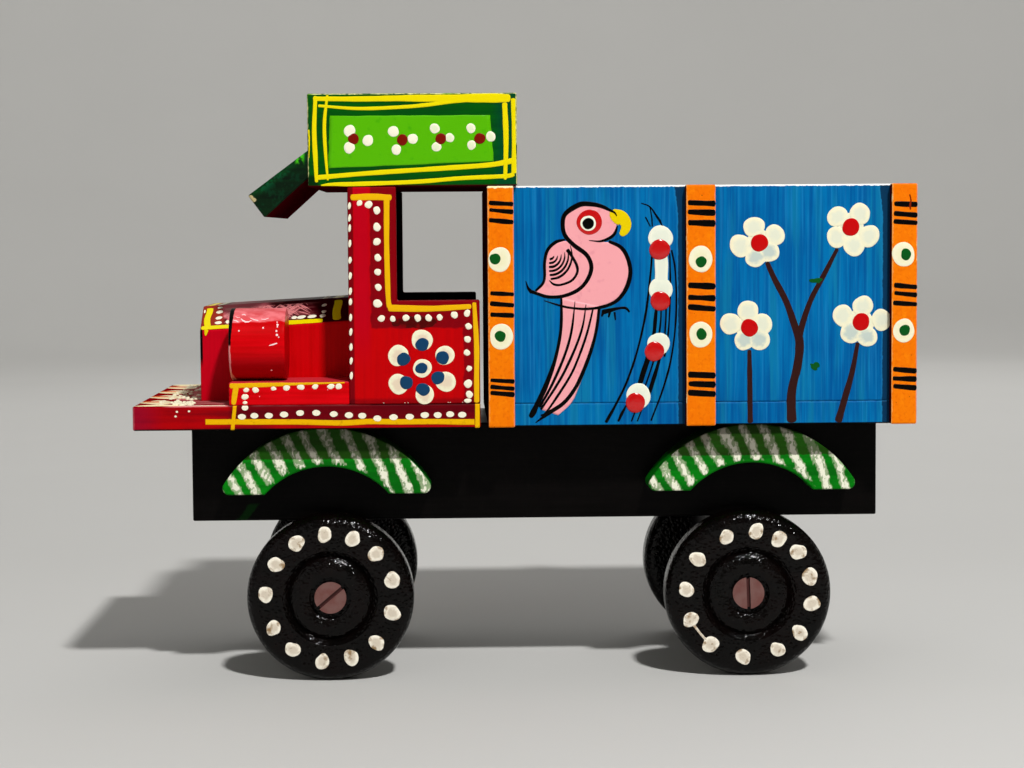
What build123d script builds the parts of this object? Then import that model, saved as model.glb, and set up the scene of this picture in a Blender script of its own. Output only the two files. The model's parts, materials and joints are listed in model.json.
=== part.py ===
from build123d import *
import os
from math import cos, radians, sin

os.makedirs("parts", exist_ok=True)

# Hand-painted wooden toy truck, in millimetres. It stands on Z = 0 and faces -X, so its left side is at -Y.
# The origin is the middle of its length and width, on the floor.

# Lengths along the truck, from the front end to the back
bumper_reach = 13.0  # base board ahead of the hood
hood_length = 33.9
cab_length = 28.4
cab_gap = 1.7  # slot between the cab and the load box
box_length = 93.6  # load box over its end walls
front_x = -(bumper_reach + hood_length + cab_length + cab_gap + box_length) / 2
hood_front_x = front_x + bumper_reach
cab_front_x = hood_front_x + hood_length
cab_rear_x = cab_front_x + cab_length
box_front_x = cab_rear_x + cab_gap
box_rear_x = box_front_x + box_length

# Wheels and the wood screws that they turn on
wheel_radius = 18.4
wheel_width = 9.0
wheel_inset = 3.5  # wheel face behind the body's side plane
wheel_shoulder = 2.6  # rounding of the wheel's two rims
front_axle_setback = 42.0  # front end to the front axle
wheelbase = 92.3
groove_outer_radius = 10.5  # turned groove around the hub
groove_inner_radius = 9.2
groove_depth = 1.3
hub_lip_radius = 4.6  # rim of the hollow around the screw's head
hub_lip_drop = 0.5  # that rim below the wheel's face
hub_crest_drop = 0.1  # hub's crest below the wheel's face
hub_hollow_depth = 2.0
shank_radius = 1.75
shank_clearance = 0.05
head_radius = 3.5
head_rim = 0.35
head_drop = 1.0  # screw's head below the wheel's face
head_play = 0.12  # wheel's slide along the screw, at the head
screw_grip = 11.0  # screw's length inside the axle beam
screw_point = 3.0
slot_width = 0.8
slot_depth = 0.7
pilot_radius = 1.6  # hole that the screw's thread bites into
side_play = 0.3  # wheel clear of the axle beam's end

# Overall width, chassis and axle beams
body_width = 70.0
paint_relief = 0.2  # room for raised paint on the outer faces, inside the overall size
chassis_inset = 14.0  # chassis side behind the body's side plane
chassis_height = 21.5
chassis_front_setback = 11.1
chassis_rear_setback = 6.3
axle_to_chassis = 16.1  # axle's centre up to the chassis
beam_length = 14.0  # axle beam along X
beam_below_axle = 8.4

# Fenders, arched blocks on the chassis sides
fender_outer_radius = 26.8
fender_band = 8.6
fender_foot_drop = 14.7  # fender's top down to its feet
fender_depth = 9.4
fender_toe_round = 1.5

# Body boards
edge_round = 0.4
base_thickness = 5.3
running_board_height = 5.0
running_board_length = 26.1
hood_inset = 16.7  # hood's side behind the body's side plane
hood_side_front = 15.7  # hood's upright sides over the base board
hood_side_rear = 17.6
hood_bevel_rise = 5.1  # hood's flat top over its sides
hood_flat_width = 20.4
hood_shoulder_round = 1.0
hood_top_round = 6.0
lamp_diameter = 15.8
lamp_length = 12.2
glue_line = 0.05
cab_wall = 5.0
sill_height = 22.5  # cab side over the base board
pillar_width = 10.5
screen_sill = 25.5  # windscreen's lower edge over the base board
screen_head = 4.6  # rail over the windscreen
screen_post = 5.0
roof_length = 45.1
roof_height = 20.0
roof_overhang = 8.4  # roof box ahead of the cab
visor_length = 16.2
visor_root_thickness = 4.8
visor_nose_thickness = 6.0
visor_slope = 36.5
visor_drop = 12.1  # visor's root below the roof box's top
visor_inset = 1.0  # visor's end behind the body's side plane

# Load box
box_height = 52.4
floor_thickness = 5.0
box_wall = 5.0
batten_depth = 2.5
front_batten_width = 5.8
middle_batten_width = 6.5
rear_batten_width = 5.7
middle_batten_offset = 43.1  # its front edge behind the load box's front

# Places worked out from the sizes
half_width = body_width / 2
painted_side_y = half_width - paint_relief
chassis_side_y = half_width - chassis_inset
wheel_face_y = half_width - wheel_inset
wheel_back_y = wheel_face_y - wheel_width
beam_end_y = wheel_back_y - side_play
chassis_bottom_z = wheel_radius + axle_to_chassis
deck_z = chassis_bottom_z + chassis_height
base_top_z = deck_z + base_thickness
floor_top_z = deck_z + floor_thickness
rim_z = deck_z + box_height
sill_z = base_top_z + sill_height
running_top_z = base_top_z + running_board_height
roof_front_x = cab_front_x - roof_overhang
front_axle_x = front_x + front_axle_setback
rear_axle_x = front_axle_x + wheelbase
panel_face_y = half_width - batten_depth
panel_back_y = panel_face_y - box_wall

# Columns: name, sign of Y
sides = [("left", -1), ("right", 1)]

# Columns: name, axle's X, fender's shift along X from the axle
axles = [("front", front_axle_x, -0.5), ("rear", rear_axle_x, 0.8)]

# Columns: axle, side, turn of the screw's slot in degrees
slot_turns = {
    ("front", "left"): 40.0,
    ("rear", "left"): 92.0,
    ("front", "right"): 155.0,
    ("rear", "right"): 20.0,
}

# Columns: name, front edge's X, width
battens = [
    ("front", box_front_x, front_batten_width),
    ("middle", box_front_x + middle_batten_offset, middle_batten_width),
    ("rear", box_rear_x - rear_batten_width, rear_batten_width),
]


# Chassis block
chassis_front_x = front_x + chassis_front_setback
chassis_rear_x = box_rear_x - chassis_rear_setback

with BuildPart() as chassis_block:
    with BuildSketch(Plane.XY.offset(chassis_bottom_z)):
        with Locations(((chassis_front_x + chassis_rear_x) / 2, 0)):
            Rectangle(chassis_rear_x - chassis_front_x, 2 * chassis_side_y)
    extrude(amount=chassis_height)
    fillet(chassis_block.edges(), edge_round)
chassis_block.part.label = "chassis_block"
export_step(chassis_block.part, "parts/chassis_block.step")

# Axle beams, with a pilot hole in each end
for axle, axle_x, shift in axles:
    with BuildPart() as axle_beam:
        with BuildSketch(Plane.XY.offset(chassis_bottom_z)):
            with Locations((axle_x, 0)):
                Rectangle(beam_length, 2 * beam_end_y)
        extrude(amount=-(axle_to_chassis + beam_below_axle))
        fillet(axle_beam.edges(), edge_round)
        for side, sign in sides:
            with BuildSketch(Plane.XZ.offset(-sign * beam_end_y)):
                with Locations((axle_x, wheel_radius)):
                    Circle(pilot_radius)
            extrude(amount=sign * screw_grip, mode=Mode.SUBTRACT)
    axle_beam.part.label = f"axle_beam_{axle}"
    export_step(axle_beam.part, f"parts/axle_beam_{axle}.step")

# Wheels, turned about Y, with a grooved face and a hollow for the screw's head
seat_y = wheel_face_y - head_drop - head_rim - head_play
bore_radius = shank_radius + shank_clearance
hollow_y = wheel_face_y - hub_hollow_depth
groove_y = wheel_face_y - groove_depth
lip_y = wheel_face_y - hub_lip_drop
hub_crest_radius = (groove_inner_radius + hub_lip_radius) / 2

for axle, axle_x, shift in axles:
    for side, sign in sides:
        with BuildPart() as wheel:
            with BuildSketch(Plane.YZ.offset(axle_x)):
                with BuildLine():
                    Polyline(
                        (sign * hollow_y, wheel_radius + hub_lip_radius),
                        (sign * hollow_y, wheel_radius + head_radius + hollow_y - seat_y),
                        (sign * (seat_y - head_radius + bore_radius), wheel_radius + bore_radius),
                        (sign * wheel_back_y, wheel_radius + bore_radius),
                        (sign * wheel_back_y, 2 * wheel_radius - wheel_shoulder),
                    )
                    RadiusArc(
                        (sign * wheel_back_y, 2 * wheel_radius - wheel_shoulder),
                        (sign * (wheel_back_y + wheel_shoulder), 2 * wheel_radius),
                        sign * wheel_shoulder,
                    )
                    Line(
                        (sign * (wheel_back_y + wheel_shoulder), 2 * wheel_radius),
                        (sign * (wheel_face_y - wheel_shoulder), 2 * wheel_radius),
                    )
                    RadiusArc(
                        (sign * (wheel_face_y - wheel_shoulder), 2 * wheel_radius),
                        (sign * wheel_face_y, 2 * wheel_radius - wheel_shoulder),
                        sign * wheel_shoulder,
                    )
                    Polyline(
                        (sign * wheel_face_y, 2 * wheel_radius - wheel_shoulder),
                        (sign * wheel_face_y, wheel_radius + groove_outer_radius),
                        (sign * groove_y, wheel_radius + groove_inner_radius),
                    )
                    ThreePointArc(
                        (sign * groove_y, wheel_radius + groove_inner_radius),
                        (sign * (wheel_face_y - hub_crest_drop), wheel_radius + hub_crest_radius),
                        (sign * lip_y, wheel_radius + hub_lip_radius),
                    )
                    Line(
                        (sign * lip_y, wheel_radius + hub_lip_radius),
                        (sign * hollow_y, wheel_radius + hub_lip_radius),
                    )
                make_face()
            revolve(axis=Axis((axle_x, 0, wheel_radius), (0, 1, 0)))
        wheel.part.label = f"wheel_{axle}_{side}"
        export_step(wheel.part, f"parts/wheel_{axle}_{side}.step")

# Wood screws: countersunk slotted heads, driven into the axle beams
head_top_y = wheel_face_y - head_drop
cone_y = head_top_y - head_rim
tip_y = beam_end_y - screw_grip

for axle, axle_x, shift in axles:
    for side, sign in sides:
        with BuildPart() as wheel_screw:
            with BuildSketch(Plane.YZ.offset(axle_x)):
                with BuildLine():
                    Polyline(
                        (sign * head_top_y, wheel_radius),
                        (sign * head_top_y, wheel_radius + head_radius),
                        (sign * cone_y, wheel_radius + head_radius),
                        (sign * (cone_y - head_radius + shank_radius), wheel_radius + shank_radius),
                        (sign * (tip_y + screw_point), wheel_radius + shank_radius),
                        (sign * tip_y, wheel_radius),
                        close=True,
                    )
                make_face()
            revolve(axis=Axis((axle_x, 0, wheel_radius), (0, 1, 0)))
            with BuildSketch(Plane.XZ.offset(-sign * head_top_y)):
                with Locations((axle_x, wheel_radius)):
                    Rectangle(3 * head_radius, slot_width, rotation=slot_turns[axle, side])
            extrude(amount=sign * slot_depth, mode=Mode.SUBTRACT)
        wheel_screw.part.label = f"wheel_screw_{axle}_{side}"
        export_step(wheel_screw.part, f"parts/wheel_screw_{axle}_{side}.step")

# Fenders: the part of a ring above the feet
fender_z = deck_z - fender_outer_radius
fender_foot_z = deck_z - fender_foot_drop

for axle, axle_x, shift in axles:
    for side, sign in sides:
        with BuildPart() as fender:
            with BuildSketch(Plane.XZ.offset(-sign * chassis_side_y)) as fender_face:
                with Locations((axle_x + shift, fender_z)):
                    Circle(fender_outer_radius)
                    Circle(fender_outer_radius - fender_band, mode=Mode.SUBTRACT)
                with Locations((axle_x + shift, fender_foot_z)):
                    Rectangle(
                        2 * fender_outer_radius,
                        2 * fender_outer_radius,
                        align=(Align.CENTER, Align.MAX),
                        mode=Mode.SUBTRACT,
                    )
                toes = fender_face.vertices().group_by(Axis.X)
                fillet(toes[0] + toes[-1], fender_toe_round)
            extrude(amount=-sign * fender_depth)
            outer_face = fender.faces().sort_by(Axis.Y)[0 if sign < 0 else -1]
            fillet(outer_face.edges(), edge_round)
        fender.part.label = f"fender_{axle}_{side}"
        export_step(fender.part, f"parts/fender_{axle}_{side}.step")

# Base board: bumper ledge and cab floor in one
with BuildPart() as base_board:
    with BuildSketch(Plane.XY.offset(deck_z)):
        with Locations(((front_x + cab_rear_x) / 2, 0)):
            Rectangle(cab_rear_x - front_x, body_width)
    extrude(amount=base_thickness)
    fillet(base_board.edges(), edge_round)
base_board.part.label = "base_board"
export_step(base_board.part, "parts/base_board.step")

# Running boards, between the hood and the side plane
hood_side_y = half_width - hood_inset
running_board_y = (hood_side_y + painted_side_y) / 2

for side, sign in sides:
    with BuildPart() as running_board:
        with BuildSketch(Plane.XY.offset(base_top_z)):
            with Locations((cab_front_x - running_board_length / 2, sign * running_board_y)):
                Rectangle(running_board_length, painted_side_y - hood_side_y)
        extrude(amount=running_board_height)
        fillet(running_board.edges(), edge_round)
    running_board.part.label = f"running_board_{side}"
    export_step(running_board.part, f"parts/running_board_{side}.step")

# Hood: upright sides, bevelled shoulders and a flat top that rises a little towards the cab
# Columns: section's X, side's height
hood_sections = [
    (hood_front_x, hood_side_front),
    (cab_front_x, hood_side_rear),
]

with BuildPart() as hood:
    for section_x, side_height in hood_sections:
        shoulder_z = base_top_z + side_height
        with BuildSketch(Plane.YZ.offset(section_x)) as hood_section:
            with BuildLine():
                Polyline(
                    (-hood_side_y, base_top_z),
                    (-hood_side_y, shoulder_z),
                    (-hood_flat_width / 2, shoulder_z + hood_bevel_rise),
                    (hood_flat_width / 2, shoulder_z + hood_bevel_rise),
                    (hood_side_y, shoulder_z),
                    (hood_side_y, base_top_z),
                    close=True,
                )
            make_face()
            bottom, shoulders, crests = hood_section.vertices().group_by(Axis.Y)
            fillet(shoulders, hood_shoulder_round)
            fillet(crests, hood_top_round)
    loft(ruled=True)
    front_edges = hood.faces().sort_by(Axis.X)[0].edges().sort_by(Axis.Z)
    fillet(front_edges[1:], edge_round)
hood.part.label = "hood"
export_step(hood.part, "parts/hood.step")

# Headlamps: dowels that lie on the running boards, against the hood
lamp_radius = lamp_diameter / 2
lamp_y = hood_side_y + glue_line + lamp_radius

for side, sign in sides:
    with BuildPart() as headlamp:
        with BuildSketch(Plane.YZ.offset(cab_front_x - running_board_length)):
            with Locations((sign * lamp_y, running_top_z + glue_line + lamp_radius)):
                Circle(lamp_radius)
        extrude(amount=lamp_length)
        fillet(headlamp.edges().filter_by(GeomType.CIRCLE), edge_round)
    headlamp.part.label = f"headlamp_{side}"
    export_step(headlamp.part, f"parts/headlamp_{side}.step")

# Cab sides: L-shaped boards, a low side with a pillar at its front
pillar_rear_x = cab_front_x + pillar_width

for side, sign in sides:
    with BuildPart() as cab_side:
        with BuildSketch(Plane.XZ.offset(-sign * (half_width - cab_wall))):
            with BuildLine():
                Polyline(
                    (cab_front_x, base_top_z),
                    (cab_rear_x, base_top_z),
                    (cab_rear_x, sill_z),
                    (pillar_rear_x, sill_z),
                    (pillar_rear_x, rim_z),
                    (cab_front_x, rim_z),
                    close=True,
                )
            make_face()
        extrude(amount=-sign * (cab_wall - paint_relief))
        fillet(cab_side.edges(), edge_round)
    cab_side.part.label = f"cab_side_{side}"
    export_step(cab_side.part, f"parts/cab_side_{side}.step")

# Cab front: a board between the sides, with the windscreen opening
cab_front_half = half_width - cab_wall

with BuildPart() as cab_front:
    with BuildSketch(Plane.YZ.offset(cab_front_x)):
        with Locations((0, (base_top_z + rim_z) / 2)):
            Rectangle(2 * cab_front_half, rim_z - base_top_z)
        with Locations((0, (base_top_z + screen_sill + rim_z - screen_head) / 2)):
            Rectangle(
                2 * (cab_front_half - screen_post),
                rim_z - screen_head - base_top_z - screen_sill,
                mode=Mode.SUBTRACT,
            )
    extrude(amount=cab_wall)
    fillet(cab_front.edges(), edge_round)
cab_front.part.label = "cab_front"
export_step(cab_front.part, "parts/cab_front.step")

# Roof box: a block that rests on the cab and on the load box's front wall
with BuildPart() as roof_box:
    with BuildSketch(Plane.XY.offset(rim_z)):
        with Locations((roof_front_x + roof_length / 2, 0)):
            Rectangle(roof_length, 2 * painted_side_y)
    extrude(amount=roof_height)
    fillet(roof_box.edges(), edge_round)
roof_box.part.label = "roof_box"
export_step(roof_box.part, "parts/roof_box.step")

# Visor: a board that slopes down from the roof box's front face and thickens towards its nose
visor_root_z = rim_z + roof_height - visor_drop
fall = radians(visor_slope)
nose_x = roof_front_x - visor_length * cos(fall)
nose_z = visor_root_z - visor_length * sin(fall)

with BuildPart() as visor:
    with BuildSketch(Plane.XZ):
        with BuildLine():
            Polyline(
                (roof_front_x, visor_root_z),
                (nose_x, nose_z),
                (nose_x + visor_nose_thickness * sin(fall), nose_z - visor_nose_thickness * cos(fall)),
                (roof_front_x, visor_root_z - visor_root_thickness / cos(fall)),
                close=True,
            )
        make_face()
    extrude(amount=half_width - visor_inset, both=True)
    root_face = visor.faces().sort_by(Axis.X)[-1]
    fillet(visor.edges() - root_face.edges(), edge_round)
visor.part.label = "visor"
export_step(visor.part, "parts/visor.step")

# Load box: floor
with BuildPart() as cargo_floor:
    with BuildSketch(Plane.XY.offset(deck_z)):
        with Locations(((box_front_x + box_rear_x) / 2, 0)):
            Rectangle(box_length, 2 * panel_face_y)
    extrude(amount=floor_thickness)
    fillet(cargo_floor.edges(), edge_round)
cargo_floor.part.label = "cargo_floor"
export_step(cargo_floor.part, "parts/cargo_floor.step")

# Load box: side panels, full length, on the floor
for side, sign in sides:
    with BuildPart() as cargo_side:
        with BuildSketch(Plane.XY.offset(floor_top_z)):
            with Locations(((box_front_x + box_rear_x) / 2, sign * (panel_back_y + panel_face_y) / 2)):
                Rectangle(box_length, box_wall)
        extrude(amount=rim_z - floor_top_z)
        fillet(cargo_side.edges(), edge_round)
    cargo_side.part.label = f"cargo_side_{side}"
    export_step(cargo_side.part, f"parts/cargo_side_{side}.step")

# Load box: end walls, between the side panels
# Columns: name, front face's X, thickness
end_walls = [
    ("cargo_front", box_front_x, box_wall),
    ("tailboard", box_rear_x - box_wall, box_wall - paint_relief),
]

for name, wall_x, thickness in end_walls:
    with BuildPart() as end_wall:
        with BuildSketch(Plane.XY.offset(floor_top_z)):
            with Locations((wall_x + thickness / 2, 0)):
                Rectangle(thickness, 2 * panel_back_y)
        extrude(amount=rim_z - floor_top_z)
        fillet(end_wall.edges(), edge_round)
    end_wall.part.label = name
    export_step(end_wall.part, f"parts/{name}.step")

# Load box: upright battens on the side panels
for place, batten_x, batten_width in battens:
    for side, sign in sides:
        with BuildPart() as batten:
            with BuildSketch(Plane.XY.offset(deck_z)):
                with Locations((batten_x + batten_width / 2, sign * (panel_face_y + painted_side_y) / 2)):
                    Rectangle(batten_width, painted_side_y - panel_face_y)
            extrude(amount=box_height)
            fillet(batten.edges(), edge_round)
        batten.part.label = f"batten_{place}_{side}"
        export_step(batten.part, f"parts/batten_{place}_{side}.step")
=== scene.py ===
"""A wooden toy truck, hand-painted with enamel: its grounds, and the lines, dots, flowers and parrot on them."""

import json
import math
from itertools import product
from types import SimpleNamespace

import bpy
import numpy as np
from bpy.props import FloatProperty, FloatVectorProperty, PointerProperty
from bpy.types import Operator, Panel, PropertyGroup
from mathutils import Matrix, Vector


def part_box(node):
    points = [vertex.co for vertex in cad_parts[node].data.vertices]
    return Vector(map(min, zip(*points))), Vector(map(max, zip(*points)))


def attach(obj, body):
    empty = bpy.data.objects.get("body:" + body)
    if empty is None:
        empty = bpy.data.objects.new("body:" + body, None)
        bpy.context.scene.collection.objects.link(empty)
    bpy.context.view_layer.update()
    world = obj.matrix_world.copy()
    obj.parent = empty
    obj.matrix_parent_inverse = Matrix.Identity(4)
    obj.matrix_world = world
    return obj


bl_info = {
    "name": "Painted Toy Truck",
    "version": (1, 0, 0),
    "blender": (4, 5, 0),
    "location": "View3D > Sidebar > Toy Truck",
    "description": "Enamel grounds and folk ornament for a wooden toy truck",
    "category": "Object",
}

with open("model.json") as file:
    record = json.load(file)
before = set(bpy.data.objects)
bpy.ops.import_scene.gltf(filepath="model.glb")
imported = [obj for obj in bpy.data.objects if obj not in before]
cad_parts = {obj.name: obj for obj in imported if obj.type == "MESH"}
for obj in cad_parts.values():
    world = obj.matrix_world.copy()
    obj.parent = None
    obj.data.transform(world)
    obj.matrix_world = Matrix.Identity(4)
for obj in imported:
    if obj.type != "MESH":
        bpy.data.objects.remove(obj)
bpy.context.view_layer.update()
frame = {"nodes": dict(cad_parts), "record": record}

# The truck faces -X and its left side is at -Y. Brush marks are placed in millimetres of its frame. In the
# grounds x, y and z, and what they are set against, are in metres, and sizes of clouds in millimetres.
MM = 0.001
BODY = "truck_body"
SIDES = {"left": -1, "right": 1}
AXLES = ("front", "rear")
PLACES = ("front", "middle", "rear")


# Settings


def colour(label, description, red, green, blue):
    """A colour setting, as the display shows it, from 0 to 1."""
    return FloatVectorProperty(
        name=label, description=description, subtype="COLOR_GAMMA", size=3, min=0, max=1,
        default=(red, green, blue),
    )


def length(label, description, default):
    """A length setting, in metres."""
    return FloatProperty(name=label, description=description, default=default, min=0, unit="LENGTH")


class PaintColours(PropertyGroup):
    """Colours of the enamels."""

    red: colour("Red", "Cab, hood, lamps and base board", 0.76, 0.004, 0.02)
    bright_red: colour("Bright red", "Running boards", 0.86, 0.01, 0.06)
    maroon: colour("Maroon", "Hood's top and the red boards in shade", 0.36, 0.01, 0.06)
    roof_green: colour("Roof green", "Roof box", 0.01, 0.33, 0.03)
    visor_green: colour("Visor green", "Visor", 0.02, 0.23, 0.08)
    leaf_green: colour("Leaf green", "Panel on the roof box's sides", 0.33, 0.7, 0.01)
    fender_green: colour("Fender green", "Fenders", 0.03, 0.5, 0.07)
    blue: colour("Blue", "Load box", 0.0, 0.43, 0.67)
    deep_blue: colour("Deep blue", "Darker streaks on the load box", 0.0, 0.35, 0.6)
    teal: colour("Teal", "Thin streaks on the load box", 0.06, 0.47, 0.62)
    orange: colour("Orange", "Battens", 0.95, 0.48, 0.01)
    black: colour("Black", "Chassis, wheels and outlines", 0.015, 0.012, 0.01)
    roof_yellow: colour("Lemon", "Lines on the roof box and the hood", 0.92, 0.845, 0.0)
    yellow: colour("Yellow", "Lines on the cab", 0.92, 0.7, 0.01)
    white: colour("White", "Dots", 0.96, 0.94, 0.84)
    cream: colour("Cream", "Petals and rings", 0.95, 0.93, 0.8)
    pink: colour("Pink", "Parrot", 0.95, 0.64, 0.66)
    beak: colour("Beak", "Parrot's beak", 0.9, 0.79, 0.0)
    bead_red: colour("Bead red", "Beads and hearts of flowers", 0.76, 0.02, 0.03)
    eye_blue: colour("Blue spots", "Spots on the cab's petals", 0.07, 0.24, 0.38)
    eye_green: colour("Green spots", "Spots on the battens' rings", 0.02, 0.32, 0.09)
    brown: colour("Brown", "Hearts of the roof's flowers", 0.47, 0.06, 0.01)
    bark: colour("Bark", "Stems", 0.19, 0.08, 0.07)
    steel: colour("Steel", "Tarnished wood screws", 0.5, 0.4, 0.38)
    floor: colour("Floor", "Studio floor and backdrop", 0.81, 0.805, 0.79)


class BrushSizes(PropertyGroup):
    """Sizes of the brush marks."""

    film: length("Film", "Height of a filled shape over the wood", 0.03 * MM)
    line_rise: length("Line's rise", "Height of a painted line", 0.06 * MM)
    drop_rise: length("Drop's rise", "Height of a drop of thick paint", 0.11 * MM)
    sink: length("Sink", "Depth of a mark's underside in the wood", 0.08 * MM)
    cab_dot: length("Cab dot", "Radius of the cab's white dots", 0.8 * MM)
    wheel_dot: length("Wheel dot", "Radius of the dots on the wheels", 1.75 * MM)
    wheel_ring: length("Wheel ring", "Radius of the circle of dots on a wheel", 14.0 * MM)


class StudioSizes(PropertyGroup):
    """The camera and the light."""

    lens: FloatProperty(
        name="Lens", description="Focal length on a 36 mm sensor", default=80.16, unit="CAMERA"
    )
    eye: FloatVectorProperty(
        name="Eye", description="Camera's place", subtype="TRANSLATION", size=3,
        default=(-0.01666, -0.52872, 0.09856),
    )
    turn: FloatProperty(
        name="Turn", description="Camera's turn to the truck's rear", default=math.radians(1.57), unit="ROTATION"
    )
    dip: FloatProperty(
        name="Dip", description="Camera's look down", default=math.radians(3.828), unit="ROTATION"
    )
    roll: FloatProperty(
        name="Roll", description="Camera's roll", default=math.radians(-0.396), unit="ROTATION"
    )
    floor_radius: length("Floor radius", "Flat part of the studio floor", 1.3)
    wall_height: length("Wall height", "Height of the round backdrop", 1.5)


def paints():
    return bpy.context.scene.truck_colours


def brushes():
    return bpy.context.scene.truck_brushes


def studio():
    return bpy.context.scene.truck_studio


def linear(shade):
    """Light's share for a display value: below 0.04045 a straight line, above it a power of 2.4."""
    value = np.asarray(shade, float)
    light = np.where(value <= 0.04045, value / 12.92, ((value + 0.055) / 1.055) ** 2.4)
    return (*light.tolist(), 1.0)


def mixed(first, second, share):
    """Display colour between two colours."""
    return tuple(np.asarray(first) * (1 - share) + np.asarray(second) * share)


def dusk(share):
    """Maroon with a share of black, for dark paint and for painted shade."""
    return mixed(paints().maroon, paints().black, share)


# Tints of sheens, streaks and worn or thin paint, as the display shows them
tints = SimpleNamespace(
    # Red boards, with a painted reflection on the pillar and painted shading on the bumper's front
    pillar_painted_sheen=(0.72, 0.0, 0.12), cab_wear=(0.7, 0.2, 0.24), bumper_painted_shading=(0.5, 0.04, 0.18), glaze=(0.7, 0.4, 0.4),
    side_edge=(0.85, 0.5, 0.5), bumper_corner=(0.8, 0.4, 0.45), board_wear=(0.8, 0.35, 0.36),
    step_top=(0.8, 0.25, 0.3), step_specks=(0.95, 0.55, 0.6), step_wear=(0.9, 0.5, 0.5),
    # Hood and lamps, with a painted reflection, painted highlights and painted shade
    hood_painted_sheen=(0.74, 0.0, 0.14), rust=(0.58, 0.17, 0.11), pink_painted_highlight=(0.86, 0.42, 0.46),
    pink_smears=(0.72, 0.38, 0.38), lamp_painted_highlight=(0.95, 0.5, 0.52), lamp_rim=(0.9, 0.55, 0.55),
    bare_wood=(0.85, 0.6, 0.45),
    # Roof box and visor
    sea_green=(0.0, 0.24, 0.17), roof_wear=(0.88, 0.88, 0.6), roof_thin=(0.4, 0.62, 0.05),
    root_smear=(0.25, 0.72, 0.05), visor_mottles=(0.0, 0.37, 0.21), visor_chips=(0.72, 0.66, 0.48),
    visor_wear=(0.5, 0.6, 0.42),
    # Load box, with dark paint and painted shade beside the battens
    pale_streak=(0.12, 0.52, 0.76), dark_streak=(0.0, 0.29, 0.55), gap_halo=(0.12, 0.5, 0.72),
    gap=(0.03, 0.16, 0.28), seam=(0.3, 0.62, 0.8), rim=(0.97, 0.97, 0.95),
    # Battens
    orange_streak=(0.93, 0.42, 0.01), orange_dark=(0.88, 0.37, 0.01), orange_pale=(0.98, 0.55, 0.03),
    orange_specks=(0.35, 0.12, 0.02), batten_front=(1.0, 0.68, 0.36), batten_rear=(0.95, 0.6, 0.5),
    batten_wear=(0.98, 0.9, 0.68), batten_top=(0.98, 0.93, 0.72),
    # Chassis, fenders, wheels and screws, with painted shade in the screws' slots
    black_thin=(0.03, 0.022, 0.02), smudge_green=(0.02, 0.17, 0.03), thin_white=(0.5, 0.62, 0.42),
    dry_white=(0.93, 0.93, 0.84), wheel_thin=(0.03, 0.012, 0.01), tarnish=(0.45, 0.28, 0.26),
    stain=(0.42, 0.22, 0.2), slot=(0.3, 0.15, 0.14),
)


# Finishes


class Shade:
    """A socket's output in a finish. Arithmetic on it adds Math nodes."""

    def __init__(self, finish, socket):
        self.finish = finish
        self.socket = socket

    def _maths(self, operation, *values):
        return self.finish.node("ShaderNodeMath", {"operation": operation}, dict(enumerate(values)))

    def __add__(self, other):
        return self._maths("ADD", self, other)

    def __radd__(self, other):
        return self._maths("ADD", other, self)

    def __sub__(self, other):
        return self._maths("SUBTRACT", self, other)

    def __rsub__(self, other):
        return self._maths("SUBTRACT", other, self)

    def __mul__(self, other):
        return self._maths("MULTIPLY", self, other)

    def __rmul__(self, other):
        return self._maths("MULTIPLY", other, self)

    def __abs__(self):
        return self._maths("ABSOLUTE", self)

    def least(self, other):
        return self._maths("MINIMUM", self, other)

    def most(self, other):
        return self._maths("MAXIMUM", self, other)

    def sine(self):
        return self._maths("SINE", self)

    def step(self, start, end):
        """0 before start, 1 after end, and an S-curve between them."""
        settings = {"interpolation_type": "SMOOTHSTEP"}
        return self.finish.node(
            "ShaderNodeMapRange", settings, {"Value": self, "From Min": start, "From Max": end}, "Result"
        )

    def under(self, limit, edge):
        """1 below the limit and 0 above it, with an edge of the given width."""
        return 1 - self.step(limit - edge / 2, limit + edge / 2)


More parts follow.
